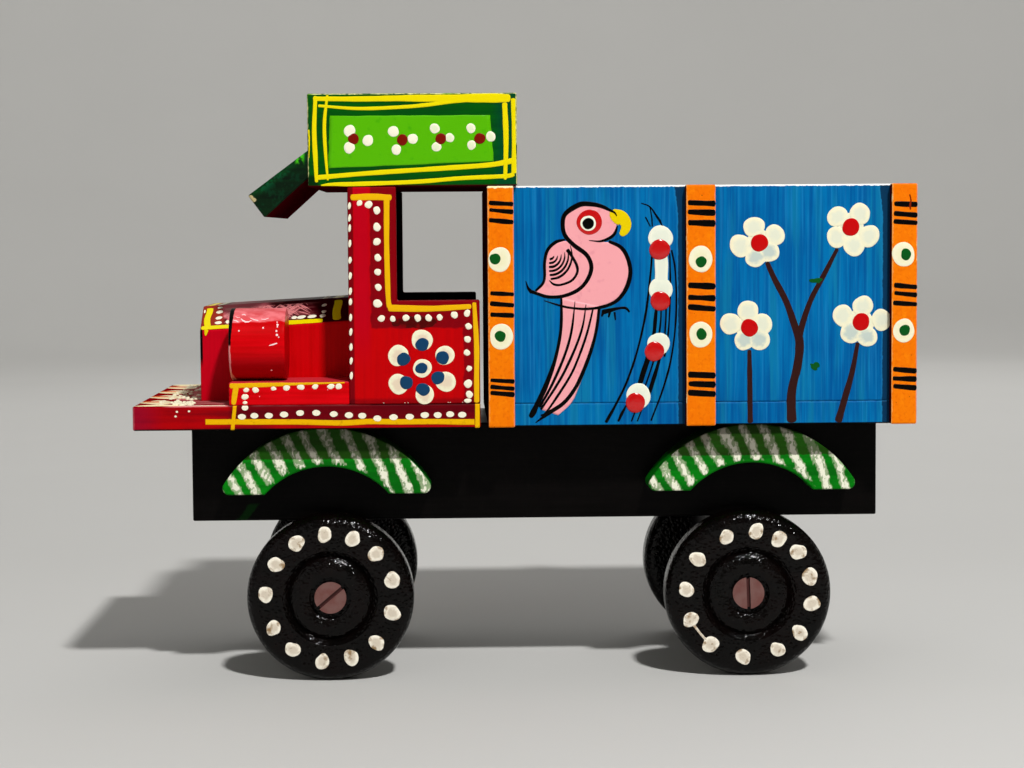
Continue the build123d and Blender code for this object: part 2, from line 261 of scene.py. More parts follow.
class Finish:
    """A material that is built up from its nodes."""

    def __init__(self, name, gloss=0.3, shine=0.04):
        self.material = bpy.data.materials.new(name)
        self.material.use_nodes = True
        self.tree = self.material.node_tree
        self.shader = self.tree.nodes["Principled BSDF"]
        self.shader.inputs["Roughness"].default_value = gloss
        self.shader.inputs["Specular IOR Level"].default_value = shine
        self.place = self.node("ShaderNodeTexCoord", output="Object")
        parts = self.node("ShaderNodeSeparateXYZ", inputs={0: self.place}).socket.node.outputs
        self.axes = [Shade(self, parts[i]) for i in range(3)]

    def node(self, kind, settings=None, inputs=None, output=0):
        """Adds a node: its settings first, then its sockets' values or links."""
        made = self.tree.nodes.new(kind)
        for setting, value in (settings or {}).items():
            setattr(made, setting, value)
        for socket, value in (inputs or {}).items():
            self.join(made.inputs[socket], value)
        return Shade(self, made.outputs[output])

    def join(self, socket, value):
        if isinstance(value, Shade):
            self.tree.links.new(value.socket, socket)
        else:
            socket.default_value = value

    def noise(self, size, detail=3.0, drawn=(1, 1, 1), shift=0.0):
        """Clouds from 0 to 1 of a size in millimetres, drawn out along an axis by the given factors."""
        place = self.node(
            "ShaderNodeMapping", {},
            {"Vector": self.place, "Location": (shift, shift, shift), "Scale": tuple(1 / d for d in drawn)},
        )
        return self.node("ShaderNodeTexNoise", {}, {"Vector": place, "Scale": 1 / (size * MM), "Detail": detail})

    def fray(self, size, reach, detail=3.0, shift=0.0, drawn=(1, 1, 1)):
        """Clouds about 0, which move an edge by up to half the reach either way."""
        return (self.noise(size, detail, drawn, shift) - 0.5) * reach

    def cells(self, size, shift=0.0):
        """Distance to the nearest of scattered points, as a share of their spacing in millimetres."""
        place = self.node("ShaderNodeMapping", {}, {"Vector": self.place, "Location": (shift, shift, shift)})
        return self.node("ShaderNodeTexVoronoi", {}, {"Vector": place, "Scale": 1 / (size * MM)}, "Distance")

    def blend(self, share, first, second):
        """Colour between two colours."""
        ends = [c if isinstance(c, Shade) else linear(c) for c in (first, second)]
        return self.node("ShaderNodeMix", {"data_type": "RGBA"}, {0: share, 6: ends[0], 7: ends[1]}, 2)

    def nearest(self, places, across, up):
        """Distance to the nearest of places (x, z), as a share of an ellipse's two radii, all in millimetres."""
        scale = (1 / (across * MM), 0, 1 / (up * MM))
        spot = self.node("ShaderNodeMapping", {}, {"Vector": self.place, "Scale": scale})
        found = None
        for x, z in places:
            points = {0: spot, 1: (x / across, 0, z / up)}
            away = self.node("ShaderNodeVectorMath", {"operation": "DISTANCE"}, points, "Value")
            found = away if found is None else found.least(away)
        return found

    def paint(self, tone):
        self.tone = tone if isinstance(tone, Shade) else linear(tone)
        self.join(self.shader.inputs["Base Color"], self.tone)

    def matt(self, mask):
        """Takes the shine away where the mask is 1."""
        dull = self.node("ShaderNodeBsdfDiffuse", {}, {"Color": self.tone})
        shaders = {0: mask, 1: Shade(self, self.shader.outputs[0]), 2: dull}
        mixed_shader = self.node("ShaderNodeMixShader", {}, shaders)
        self.join(self.tree.nodes["Material Output"].inputs["Surface"], mixed_shader)

    def relief(self, height, depth):
        """Roughens the surface by a height from 0 to 1, of a depth in millimetres."""
        bumped = self.node("ShaderNodeBump", {}, {"Height": height, "Distance": depth * MM})
        self.join(self.shader.inputs["Normal"], bumped)


def drawn_along(axis, factor):
    """Factors that draw clouds out along one axis."""
    return tuple(factor if i == axis else 1 for i in range(3))


def edge_distance(finish, boxes):
    """Distance in metres from a point on a board to its nearest edge. In a box it is the middle one of the
    distances to the three pairs of faces, and a board of several boxes takes the greatest of theirs."""
    found = None
    for low, high in boxes:
        a, b, c = ((high[i] - low[i]) / 2 - abs(finish.axes[i] - (high[i] + low[i]) / 2) for i in range(3))
        middle = a.least(b).most(a.most(b).least(c))
        found = middle if found is None else found.most(middle)
    return found


class Enamel(Finish):
    """Brushed gloss enamel on wood. Its tone is built up coat by coat, and done() closes it."""

    def __init__(self, name, shade, deep, brushed=0, streak=0.7, gloss=0.34, shine=0.04):
        super().__init__(name, gloss, shine)
        self.streaks = self.noise(streak, 4.0, drawn_along(brushed, 30))
        self.clouds = self.noise(14.0, 2.0, shift=0.3)
        share = (self.streaks * 0.55 + self.clouds * 0.45).step(0.38, 0.62)
        self.tone = self.blend(share, deep, shade)
        self.height = self.streaks * 0.6 + self.noise(2.2, 2.0, shift=0.7) * 0.4

    def cover(self, mask, shade, thick=0.0):
        """Another colour where the mask is 1, raised by a thickness."""
        self.tone = self.blend(mask, self.tone, shade)
        if thick:
            self.height = self.height + mask * thick

    def chip(self, boxes, shade, width, amount):
        """Chipped edges: nearer to an edge than a ragged limit in millimetres, in patches, the paint is gone."""
        limit = width * MM
        ragged = edge_distance(self, boxes) + self.fray(0.8, limit * 1.8, shift=0.9)
        patches = self.noise(6.0, 3.0, shift=0.5).step(1 - amount, 1.08 - amount)
        self.cover((1 - ragged.step(limit * 0.7, limit)) * patches, shade, -1.5)

    def specks(self, size, share, shade):
        """Scattered specks, where the distance to a scattered point is under a share of the spacing."""
        self.cover(1 - self.cells(size, shift=0.2).step(share * 0.8, share), shade)

    def topside(self, high):
        """1 on a board's upper face."""
        return self.axes[2].step(high[2] - 0.0003, high[2] - 0.0001)

    def underside(self, low):
        """1 on a board's lower face."""
        return self.axes[2].under(low[2] + 0.0003, 0.0002)

    def done(self, depth=0.03, dull=None):
        """Joins tone, relief and roughness to the shader, with no shine where dull is 1."""
        self.paint(self.tone)
        if dull is not None:
            self.matt(dull)
        rough = self.shader.inputs["Roughness"].default_value
        self.join(self.shader.inputs["Roughness"], self.clouds * 0.2 + (rough - 0.06))
        self.relief(self.height, depth)
        return self.material


def dress(node, material):
    """Gives a piece of woodwork its finish."""
    for slot in frame["nodes"][node].material_slots:
        slot.material = material


def box_of(node):
    """Lowest and highest corner of a piece of woodwork, in metres."""
    return [[float(value) for value in corner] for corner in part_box(node)]


def opening(name):
    """Lowest and highest corner of an opening between the pieces, in metres."""
    return next(o["box_m"] for o in frame["record"]["physics"]["openings"] if o["name"] == name)


# Brush marks


def span(node):
    """Lowest and highest corner of a piece of woodwork, in millimetres."""
    low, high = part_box(node)
    return np.array(low) / MM, np.array(high) / MM


class Face:
    """A flat face to paint on. The point (u, v, rise) lies u along it and v up it from its origin, and rise
    off the wood, in millimetres."""

    def __init__(self, origin, along, up, out):
        self.origin, self.along, self.up, self.out = (np.array(d, float) for d in (origin, along, up, out))
        self.mirrored = np.cross(self.along, self.up) @ self.out < 0

    def at(self, u, v, rise):
        spot = self.origin + np.multiply.outer(u, self.along) + np.multiply.outer(v, self.up)
        return (spot + np.multiply.outer(rise, self.out)) * MM


def side_face(node, side):
    """A piece's outer side: u is the frame's X and v is its Z."""
    low, high = span(node)
    sign = SIDES[side]
    return Face((0, high[1] if sign > 0 else low[1], 0), (1, 0, 0), (0, 0, 1), (0, sign, 0))


def end_face(place, way):
    """A piece's front end, where way is -1, or its rear end: u is the frame's Y and v is its Z."""
    return Face((place, 0, 0), (0, 1, 0), (0, 0, 1), (way, 0, 0))


class HoodTop:
    """The hood's top: u is the frame's X and v is its Y. Across it are a flat middle, an arc and an even slope
    down to each shoulder. It rises evenly from the hood's front to its rear."""

    mirrored = False
    # Height of its sides in front and at the rear, rise of the bevels over them, half width of the flat middle
    # and radius of the arcs beside it
    side_front = 15.7
    side_rear = 17.6
    bevel_rise = 5.1
    flat_half = 10.2
    crest_round = 6.0

    def __init__(self):
        self.low, self.high = span("hood")
        self.slope = math.atan2(self.bevel_rise, self.high[1] - self.flat_half)
        self.arc_start = self.flat_half - self.crest_round * math.tan(self.slope / 2)

    def at(self, u, v, rise):
        share = (u - self.low[0]) / (self.high[0] - self.low[0])
        crest = self.low[2] + self.side_front + share * (self.side_rear - self.side_front) + self.bevel_rise
        lean = np.clip((np.abs(v) - self.arc_start) / self.crest_round, 0, math.sin(self.slope))
        arc = self.crest_round * (1 - np.sqrt(1 - lean**2))
        bevel = (np.abs(v) - self.flat_half) * math.tan(self.slope)
        top = crest - np.where(lean < math.sin(self.slope), arc, bevel)
        across = v + rise * lean * np.sign(v)
        return np.stack([u + 0 * rise, across, top + rise * np.sqrt(1 - lean**2)], axis=-1) * MM


class Barrel:
    """A headlamp's round side: u is the frame's X, and v is the way round it, from its top outwards."""

    def __init__(self, node, side):
        low, high = span(node)
        self.middle = (low + high) / 2
        self.radius = (high[2] - low[2]) / 2
        self.sign = SIDES[side]
        self.mirrored = self.sign < 0

    def at(self, u, v, rise):
        turn = v / self.radius
        out = self.radius + rise
        y = self.middle[1] + self.sign * out * np.sin(turn)
        return np.stack([u + 0 * out, y, self.middle[2] + out * np.cos(turn)], axis=-1) * MM


def cubic(a, b, c, d, t):
    """Point at t from b to c: a cubic whose slope at a point is half the way from the point before to the
    point after."""
    return (2 * b + (c - a) * t + (2 * a - 5 * b + 4 * c - d) * t**2 + (3 * b - a - 3 * c + d) * t**3) / 2


def smooth_line(points):
    """Stations along a smooth line through the points, and their distance along it. The stations are a step
    apart, and closer over half a width at each end, where the brush lifts. Columns past the second follow."""
    given = np.asarray(points, float)
    ends = np.vstack([2 * given[0] - given[1], given, 2 * given[-1] - given[-2]])
    along = np.linspace(0, len(given) - 1, 24 * (len(given) - 1) + 1)
    first = np.minimum(along.astype(int), len(given) - 2)
    line = cubic(*(ends[first + i] for i in range(4)), (along - first)[:, None])
    gone = np.concatenate([[0], np.cumsum(np.linalg.norm(np.diff(line[:, :2], axis=0), axis=1))])
    step = 0.5
    lift = min(max(line[0, 2], line[-1, 2]) / 2, gone[-1] / 3)
    ease = lift * (1 - np.cos(np.linspace(0, np.pi / 2, 5)))
    run = np.linspace(lift, gone[-1] - lift, max(int(gone[-1] / step), 3))
    distance = np.concatenate([ease[:-1], run, (gone[-1] - ease[:-1])[::-1]])
    return np.stack([np.interp(distance, gone, column) for column in line.T], axis=1), distance


def smooth_loop(points):
    """A smooth closed line through the points, with five stations from each to the next."""
    given = np.asarray(points, float)
    corners = (np.roll(given, 1 - k, axis=0)[:, None] for k in range(4))
    return cubic(*corners, np.linspace(0, 1, 5, endpoint=False)[:, None]).reshape(-1, 2)


class Coat:
    """Dried paint of one colour on one body. Its marks are closed skins, gathered and made into one mesh."""

    # Cross-section of a line: place across it from -1 to 1, and height, with the underside last
    section = np.array(
        [[-1, 0.1], [-0.93, 0.55], [-0.7, 0.9], [-0.3, 1.0], [0.3, 0.96], [0.7, 0.9], [0.93, 0.55], [1, 0.1]]
    )
    # Profile of a drop: share of the way from its middle to its rim, and height
    dome = np.array([[0.35, 0.97], [0.62, 0.86], [0.82, 0.62], [0.95, 0.3], [1.0, 0.05]])

    def __init__(self, name, finish, seed, body=BODY):
        self.name = name
        self.finish = finish
        self.body = body
        self.chance = np.random.default_rng(seed)
        self.skins = []
        self.sink = brushes().sink / MM

    def add(self, face, u, v, height, rim):
        """Keeps a skin of closed rings, turned so that it faces outwards, and how near each point is to the
        mark's rim, from 0 to 1."""
        turned = slice(None, None, -1 if face.mirrored else 1)
        rings = face.at(u, v, np.broadcast_to(height, u.shape))
        self.skins.append((rings[:, turned], np.broadcast_to(rim, u.shape)[:, turned]))

    def patch(self, face, outline, lift=0.0, rise=None):
        """A filled shape. Its rings are the outline drawn in towards its middle, with the dome's heights,
        then the same outline under the wood's surface."""
        rise = brushes().film / MM if rise is None else rise
        outline = np.asarray(outline, float)
        middle = outline.mean(axis=0)
        share = np.concatenate([self.dome[:, 0], [1.0, 0.5]])[:, None]
        height = np.concatenate([lift + rise * self.dome[:, 1], [-self.sink, -self.sink]])[:, None]
        spots = middle + share[..., None] * (outline - middle)
        self.add(face, spots[..., 0], spots[..., 1], height, share)

    def band(self, face, middle, half, lift, rise):
        """A skin along a line: at each station, the cross-section lies from the middle less half to the
        middle and half, and closes under the wood's surface."""
        across = np.concatenate([self.section[:, 0], [0.9, -0.9]])
        height = np.concatenate([lift + rise * self.section[:, 1], [-self.sink, -self.sink]])
        spots = middle[:, None] + half[:, None] * across[:, None]
        self.add(face, spots[..., 0], spots[..., 1], height, np.abs(across))

    def between(self, face, right, left):
        """Fills the room between two lines of points, on the right and on the left of the way along them."""
        lines = []
        for points in (right, left):
            line, distance = smooth_line([(*p, 0) for p in points])
            even = np.linspace(0, distance[-1], 48)
            lines.append(np.stack([np.interp(even, distance, line[:, i]) for i in (0, 1)], axis=1))
        self.band(face, (lines[0] + lines[1]) / 2, (lines[1] - lines[0]) / 2, 0, brushes().film / MM)

    def dab(self, face, u, v, wide, tall=None, turn=0.0, lift=0.0, uneven=0.05, rise=None, points=22):
        """A drop of paint: an ellipse of two radii, whose rim goes in and out by a few small waves."""
        angle = np.linspace(0, 2 * np.pi, points, endpoint=False)
        phases = self.chance.uniform(0, 2 * np.pi, 4)
        waves = sum(uneven / (k + 1) * np.cos((k + 2) * angle + phases[k]) for k in range(4))
        x = wide * (1 + waves) * np.cos(angle)
        y = (wide if tall is None else tall) * (1 + waves) * np.sin(angle)
        c, s = math.cos(turn), math.sin(turn)
        rise = brushes().drop_rise / MM if rise is None else rise
        self.patch(face, np.stack([u + c * x - s * y, v + s * x + c * y], axis=1), lift, rise)

    def drops(self, face, places, radius, squash=1.0):
        """Drops at places (u, v) or (u, v, radius), each a little off its size and turn."""
        for u, v, *own in places:
            wide = (own[0] if own else radius) * self.chance.uniform(0.92, 1.06)
            turn = self.chance.uniform(-0.3, 0.3)
            self.dab(face, u, v, wide, wide * squash * self.chance.uniform(0.92, 1.06), turn, uneven=0.07)

    def row(self, face, start, end, count, radius, sway=0.2):
        """Drops at even steps between two points, each a little off its place."""
        places = np.linspace(start, end, count) + self.chance.normal(0, sway, (count, 2))
        self.drops(face, places.tolist(), radius)

    def stroke(self, face, points, width=None, lift=0.0, rise=None, waver=0.04, pointed=False):
        """A brushed line through points (u, v) or (u, v, width). Its half width is rounded off over the
        first and last quarter of its width, and wavers by slow waves along it."""
        points = [(*p, width) if len(p) == 2 else p for p in points]
        line, distance = smooth_line(points)
        slope = np.gradient(line[:, :2], axis=0)
        slope /= np.linalg.norm(slope, axis=1)[:, None]
        phases = self.chance.uniform(0, 2 * np.pi, 3)
        waves = sum(waver / (k + 1) * np.sin(distance * (0.45 + 0.6 * k) + phases[k]) for k in range(3))
        half = line[:, 2] / 2 * (1 + waves)
        if not pointed:
            near = np.minimum(distance, distance[-1] - distance)
            left = 1 - np.clip(near / np.maximum(half * 0.55, 1e-6), 0, 1)
            half = half * np.sqrt(1 - left**2)
        half = np.maximum(half, 0.025)[:, None]
        rise = brushes().line_rise / MM if rise is None else rise
        self.band(face, line[:, :2], half * np.stack([-slope[:, 1], slope[:, 0]], axis=1), lift, rise)

    def strokes(self, face, lines, **settings):
        """Several brushed lines."""
        for points in lines:
            self.stroke(face, points, **settings)

    def make(self):
        """Joins the skins in one mesh: each ring is sewn to the next, and each end ring to its middle."""
        points, rims, quads, fans = [], [], [], []
        start = 0
        for rings, rim in self.skins:
            count, size = rings.shape[:2]
            points += [rings[0].mean(axis=0)[None], rings.reshape(-1, 3), rings[-1].mean(axis=0)[None]]
            rims += [[rim[0].min() if np.ptp(rim[0]) else 0.0], rim.ravel(), [1.0]]
            here = np.arange(size)
            after = (here + 1) % size
            base = (start + 1 + size * np.arange(count - 1))[:, None]
            quads.append(np.stack([base + here, base + size + here, base + size + after, base + after], axis=-1))
            last = start + 1 + size * (count - 1)
            fans.append(np.stack([np.full(size, start), start + 1 + here, start + 1 + after], axis=-1))
            fans.append(np.stack([last + here, np.full(size, last + size), last + after], axis=-1))
            start += size * count + 2
        faces = np.concatenate([q.reshape(-1, 4) for q in quads]).tolist()
        faces += np.concatenate(fans).tolist()
        made = new_mesh(self.name, np.concatenate(points), faces, self.finish)
        rim = made.data.attributes.new("rim", "FLOAT", "POINT")
        rim.data.foreach_set("value", np.concatenate(rims).astype(np.float32))
        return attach(made, self.body)


def new_mesh(name, points, faces, material):
    mesh = bpy.data.meshes.new(name)
    mesh.from_pydata(points.tolist(), [], faces)
    mesh.shade_smooth()
    mesh.materials.append(material)
    made = bpy.data.objects.new(name, mesh)
    bpy.context.scene.collection.objects.link(made)
    return made


def dried_paint(name, shade, thin, share=0.35, gloss=0.3, shine=0.1, hollow=0.0, grain=0.03):
    """Paint of a mark, with a second colour where it dried thin: in clouds, and by the given share in the
    middle of the mark, which its rim attribute tells."""
    finish = Finish(name, gloss, shine)
    clouds = finish.noise(1.6, 4.0)
    mask = clouds.step(1 - share, 1.25 - share)
    if hollow:
        rim = finish.node("ShaderNodeAttribute", {"attribute_name": "rim"}, output="Fac")
        ragged = rim + finish.fray(0.9, 0.7, shift=0.4)
        mask = mask.most(ragged.under(0.62, 0.5) * hollow)
    finish.paint(finish.blend(mask, shade, thin))
    finish.relief(finish.noise(0.35, 3.0) * 0.6 + clouds * 0.4, grain)
    return finish.material


def pot(name, *colours, **settings):
    """A paint that several pieces share: it is made once and found by its name after that."""
    return bpy.data.materials.get(name) or dried_paint(name, *colours, **settings)


def white_pot():
    return pot("white_paint", paints().white, mixed(paints().white, (0.75, 0.66, 0.5), 0.3), share=0.2)


def yellow_pot():
    return pot("yellow_paint", paints().yellow, (0.75, 0.45, 0.0), share=0.3)


def lemon_pot():
    return pot("lemon_paint", paints().roof_yellow, (0.8, 0.74, 0.02), share=0.3)


def black_pot():
    return pot("black_paint", paints().black, (0.03, 0.015, 0.025), shine=0.06)


def thin_cream_pot():
    return pot("thin_cream_paint", paints().cream, (0.93, 0.7, 0.6), share=0.2)


def heart_pot():
    return pot("heart_paint", paints().bead_red, mixed(paints().bead_red, paints().maroon, 0.4))


def wheel_pot():
    return pot("wheel_dot_paint", (0.99, 0.96, 0.89), (0.6, 0.49, 0.35), share=0.55, hollow=0.42, grain=0.3)


# Enamel grounds of the woodwork


def ground_cab_side(side):
    """Red outside with a painted magenta reflection up the pillar, black jambs and inside, and pink worn edges."""
    node = f"cab_side_{side}"
    low, high = box_of(node)
    window, _ = opening("cab_window")
    pillar = (low, (window[0], high[1], high[2]))
    sill = (low, (high[0], high[1], window[2]))
    p = paints()
    enamel = Enamel(f"{node}_enamel", p.red, mixed(p.red, p.maroon, 0.1), brushed=2)
    x, y, z = enamel.axes
    front = low[0]
    # Where the shade on the pillar's front edge ends
    shaded_front = front + 0.0012
    enamel.cover(x.under(shaded_front, 0.0003) * 0.75, dusk(0.15))
    # Painted reflection: a magenta tint up the front part of the pillar
    pillar_painted_sheen = x.step(shaded_front, front + 0.0015) * x.under(front + 0.0046, 0.0014) * z.step(0.066, 0.082)
    enamel.cover(pillar_painted_sheen * 0.55, tints.pillar_painted_sheen)
    drift = enamel.fray(2.0, 0.001, 2.0)
    frayed_x, frayed_z = x + drift, z + drift
    beside_window = frayed_x.step(-0.0338, -0.0334) * frayed_z.step(0.0776, 0.0781)
    at_rear = frayed_x.step(-0.0138, -0.0134)
    enamel.cover(beside_window.most(at_rear) * 0.75, mixed(p.red, p.maroon, 0.9))
    enamel.cover(z.under(low[2] + 0.0012, 0.001) * 0.5, dusk(0.3))
    enamel.chip([pillar, sill], tints.cab_wear, 0.3, 0.3)
    # The jambs are black to 3.4 mm from the inner face
    black_from = min(abs(low[1]), abs(high[1])) + 0.0034
    indoors = (abs(y) + enamel.noise(1.5, shift=0.1) * 0.0008).under(black_from, 0.0003)
    enamel.cover(indoors, p.black)
    dress(node, enamel.done(dull=indoors))


def ground_cab_front():
    """Red outside and black inside."""
    p = paints()
    enamel = Enamel("cab_front_enamel", p.red, mixed(p.red, p.maroon, 0.2), brushed=2)
    front = box_of("cab_front")[0][0]
    indoors = enamel.axes[0].step(front + 0.0012, front + 0.0015)
    enamel.cover(indoors, p.black)
    dress("cab_front", enamel.done(dull=indoors))


def side_marks(enamel):
    """Marks on the base board's sides: the yellow line along its foot, two line ends from the boards above,
    and a row of dots, each an ellipse about its own place."""
    x, y, z = enamel.axes
    p = paints()
    # Only the board's sides stand further out than this
    side = abs(y).step(0.0346, 0.0348)
    drift = enamel.noise(14.0, 1.0, shift=0.8) - 0.5
    worn = enamel.noise(0.9, 3.0, shift=0.65).step(0.2, 0.45)
    behind_bumper = x.step(-0.0650, -0.0635) * z.step(0.0574, 0.058)
    enamel.cover(behind_bumper * side * 0.75, dusk(0.1))
    past_ends = (-0.0690 - x).most(x + 0.0119)
    foot_line = abs(z - (0.0572 - 0.0084 * x) + drift * 0.001).most(past_ends).under(0.00058, 0.00016)
    ends_foot = 0.0562
    front_end = abs(x + 0.0637 - (z - 0.0567) * 0.11).most(ends_foot - z).under(0.0004, 0.00014)
    rear_end = abs(x + 0.0107 + drift * 0.0003).most(ends_foot - z).under(0.0005, 0.00014)
    enamel.cover(foot_line.most(front_end).most(rear_end) * side * (worn * 0.35 + 0.65), p.yellow, 1.5)
    # Columns: place along the truck, height
    dots = [
        (-61.7, 58.9), (-59.0, 59.1), (-55.9, 59.1), (-52.6, 59.3), (-49.1, 59.6), (-45.6, 59.6), (-41.8, 59.3),
        (-38.6, 59.05), (-35.7, 58.9), (-32.4, 58.3), (-28.9, 58.5), (-25.4, 58.6), (-22.1, 58.9), (-19.3, 58.9),
        (-16.6, 59.05), (-14.0, 58.9),
    ]
    away = enamel.nearest(dots, 0.88, 0.64) + enamel.fray(1.2, 0.35, 2.0, 0.2)
    post_dot = enamel.nearest([(-61.0, 60.85)], 0.72, 0.6)
    specks = enamel.nearest([(-75.7, 60.1), (-73.1, 60.2), (-76.0, 59.1)], 0.26, 0.22)
    enamel.cover(away.least(post_dot).least(specks).under(1.0, 0.12) * side, p.white, 2.5)


def ground_base_board():
    """Red sides with their marks, a glazed maroon top on the bumper, and black under the cab and below."""
    p = paints()
    enamel = Enamel("base_board_enamel", mixed(p.red, p.maroon, 0.2), mixed(p.red, p.maroon, 0.75), streak=1.6)
    low, high = box_of("base_board")
    cab_front = box_of("cab_front")[0][0]
    x, y, z = enamel.axes
    front, top = low[0], high[2]
    # Painted shading: a darker purplish tint over the bumper's front end
    enamel.cover(x.under(front + 0.004, 0.007) * 0.55, tints.bumper_painted_shading)
    level = enamel.topside(high)
    enamel.cover(level, mixed(p.maroon, p.red, 0.4))
    glaze = enamel.noise(2.6, 4.0, (2, 1, 1), shift=0.15).step(0.3, 0.6)
    enamel.cover(level * x.step(front + 0.006, front + 0.008) * glaze * 0.8, tints.glaze)
    side_edge = (
        level * abs(y).step(0.0325, 0.033) * x.step(front + 0.007, front + 0.009) * x.under(front + 0.0205, 0.0005)
    )
    enamel.cover(side_edge * 0.8, tints.side_edge)
    enamel.cover(x.step(cab_front + 0.004, cab_front + 0.005) * level, p.black)
    enamel.cover(enamel.underside(low), p.black)
    side_marks(enamel)
    corner = (x - front) + enamel.fray(1.0, 0.0003, shift=0.35)
    enamel.cover(corner.under(0.00035, 0.00025) * z.under(top - 0.0003, 0.0003) * 0.55, tints.bumper_corner)
    enamel.chip([(low, high)], tints.board_wear, 0.22, 0.2)
    dress("base_board", enamel.done(dull=level * x.under(cab_front, 0.001)))


def ground_running_boards():
    """Bright red, paler on top, with pink specks and worn edges."""
    p = paints()
    for side in SIDES:
        node = f"running_board_{side}"
        enamel = Enamel(f"{node}_enamel", p.bright_red, p.red, brushed=0)
        low, high = box_of(node)
        enamel.cover(enamel.axes[2].step(high[2] - 0.0003, high[2]) * 0.6, tints.step_top)
        enamel.specks(2.2, 0.06, tints.step_specks)
        enamel.chip([(low, high)], tints.step_wear, 0.2, 0.35)
        dress(node, enamel.done())


def ground_hood():
    """Red sides with a painted crimson reflection at the front, a front end that is black above, and a dark top with
    a rusty band in front, and a pink painted highlight and pink smears behind it."""
    p = paints()
    enamel = Enamel("hood_enamel", mixed(p.red, p.bright_red, 0.6), p.red, brushed=2)
    low, _ = box_of("hood")
    x, _, z = enamel.axes
    front, foot = low[0], low[2]
    # Painted reflection: a crimson tint over the hood's front end
    enamel.cover(x.under(front + 0.007, 0.006) * 0.5, tints.hood_painted_sheen)
    above = z - (x - front) * 0.056
    top = above.step(foot + 0.0156, foot + 0.0159)
    enamel.cover(top, dusk(0.35))
    enamel.cover(top * x.under(front + 0.0052, 0.001), tints.rust)
    ragged = x + enamel.fray(3.0, 0.006, 3.0, 0.45, (1, 2, 1))
    # Pink painted highlight on the hood's top, where the flat top catches the light
    patch = ragged.step(front + 0.0045, front + 0.0055) * ragged.under(front + 0.0135, 0.006)
    enamel.cover(top * patch * 0.85, tints.pink_painted_highlight)
    smears = enamel.noise(1.2, 4.0, (5, 1, 1), shift=0.45).step(0.48, 0.66)
    middle = ragged.step(front + 0.009, front + 0.012) * ragged.under(front + 0.024, 0.008)
    enamel.cover(top * smears * middle * 0.6, tints.pink_smears)
    front_edge = x.under(front + 0.0006, 0.0002) * above.under(foot + 0.0158, 0.0003)
    enamel.cover(front_edge * z.step(0.0680, 0.0710), p.black)
    dress("hood", enamel.done())


def ground_lamps():
    """Bright red barrels with a painted pink highlight along the top, painted shade on the foot, and a rim that is
    black above and worn below."""
    p = paints()
    for side in SIDES:
        node = f"headlamp_{side}"
        low, high = box_of(node)
        enamel = Enamel(f"{node}_enamel", mixed(p.red, p.bright_red, 0.7), p.red, brushed=0)
        x, _, z = enamel.axes
        front, foot, top = low[0], low[2], high[2]
        half = (foot + top) / 2
        mottled = enamel.noise(1.5, 4.0, (2, 1, 1), shift=0.3)
        # Painted highlight: a mottled pink band along the barrel's top
        painted_top_highlight = (z + (mottled - 0.5) * 0.0014).step(top - 0.0029, top - 0.0026)
        enamel.cover(painted_top_highlight * (mottled.step(0.35, 0.65) * 0.55 + 0.38), tints.lamp_painted_highlight)
        # Painted shade: darker towards the barrel's foot
        enamel.cover(z.under(foot + 0.0052, 0.004) * 0.4, dusk(0.3))
        ragged = (mottled - 0.5) * 0.0004
        rim = (z - half) * 0.078 + 0.00045
        enamel.cover((x - front - rim + ragged).under(0.0, 0.00012) * z.step(half - 0.0002, half), p.black)
        worn = (x - front + ragged).under(0.0004, 0.00015) * z.under(half, 0.0006)
        enamel.cover(worn, tints.lamp_rim)
        worn_foot = (x - front + (z - foot) * 0.5 + ragged * 2).under(0.0014, 0.0003)
        enamel.cover(worn_foot * 0.9, tints.bare_wood)
        dress(node, enamel.done(0.045))


def ground_roof():
    """Dark green roof box with worn edges, lines round its top and a dusky ceiling."""
    p = paints()
    low, high = box_of("roof_box")
    enamel = Enamel("roof_box_enamel", p.roof_green, mixed(p.roof_green, p.visor_green, 0.6), brushed=0)
    enamel.cover(edge_lines(enamel, low, high), p.roof_yellow)
    x, _, z = enamel.axes
    enamel.cover(x.step(high[0] - 0.006, high[0] - 0.003) * 0.6, tints.sea_green)
    enamel.chip([(low, high)], tints.roof_wear, 0.22, 0.6)
    enamel.chip([(low, high)], tints.roof_thin, 0.32, 0.4)
    corner = (x - low[0]).most(z - low[2]) + enamel.fray(1.5, 0.0015)
    enamel.cover(corner.under(0.0024, 0.001) * 0.8, mixed(p.visor_green, p.black, 0.6))
    ceiling = enamel.underside(low)
    enamel.cover(ceiling, dusk(0.3))
    dress("roof_box", enamel.done(dull=ceiling))


def edge_lines(enamel, low, high):
    """Two lines round the roof box's top, where the distance to its border is near that of a line."""
    inward = [(high[i] - low[i]) / 2 - abs(enamel.axes[i] - (high[i] + low[i]) / 2) for i in (0, 1)]
    border = inward[0].least(inward[1]) + enamel.fray(9.0, 0.0012, 2.0, 0.6)
    # Columns: distance to the border, half width
    outer, inner = (
        1 - abs(border - place).step(half * 0.8, half) for place, half in ((0.0019, 0.0006), (0.0041, 0.0004))
    )
    return outer.most(inner) * enamel.topside(high)


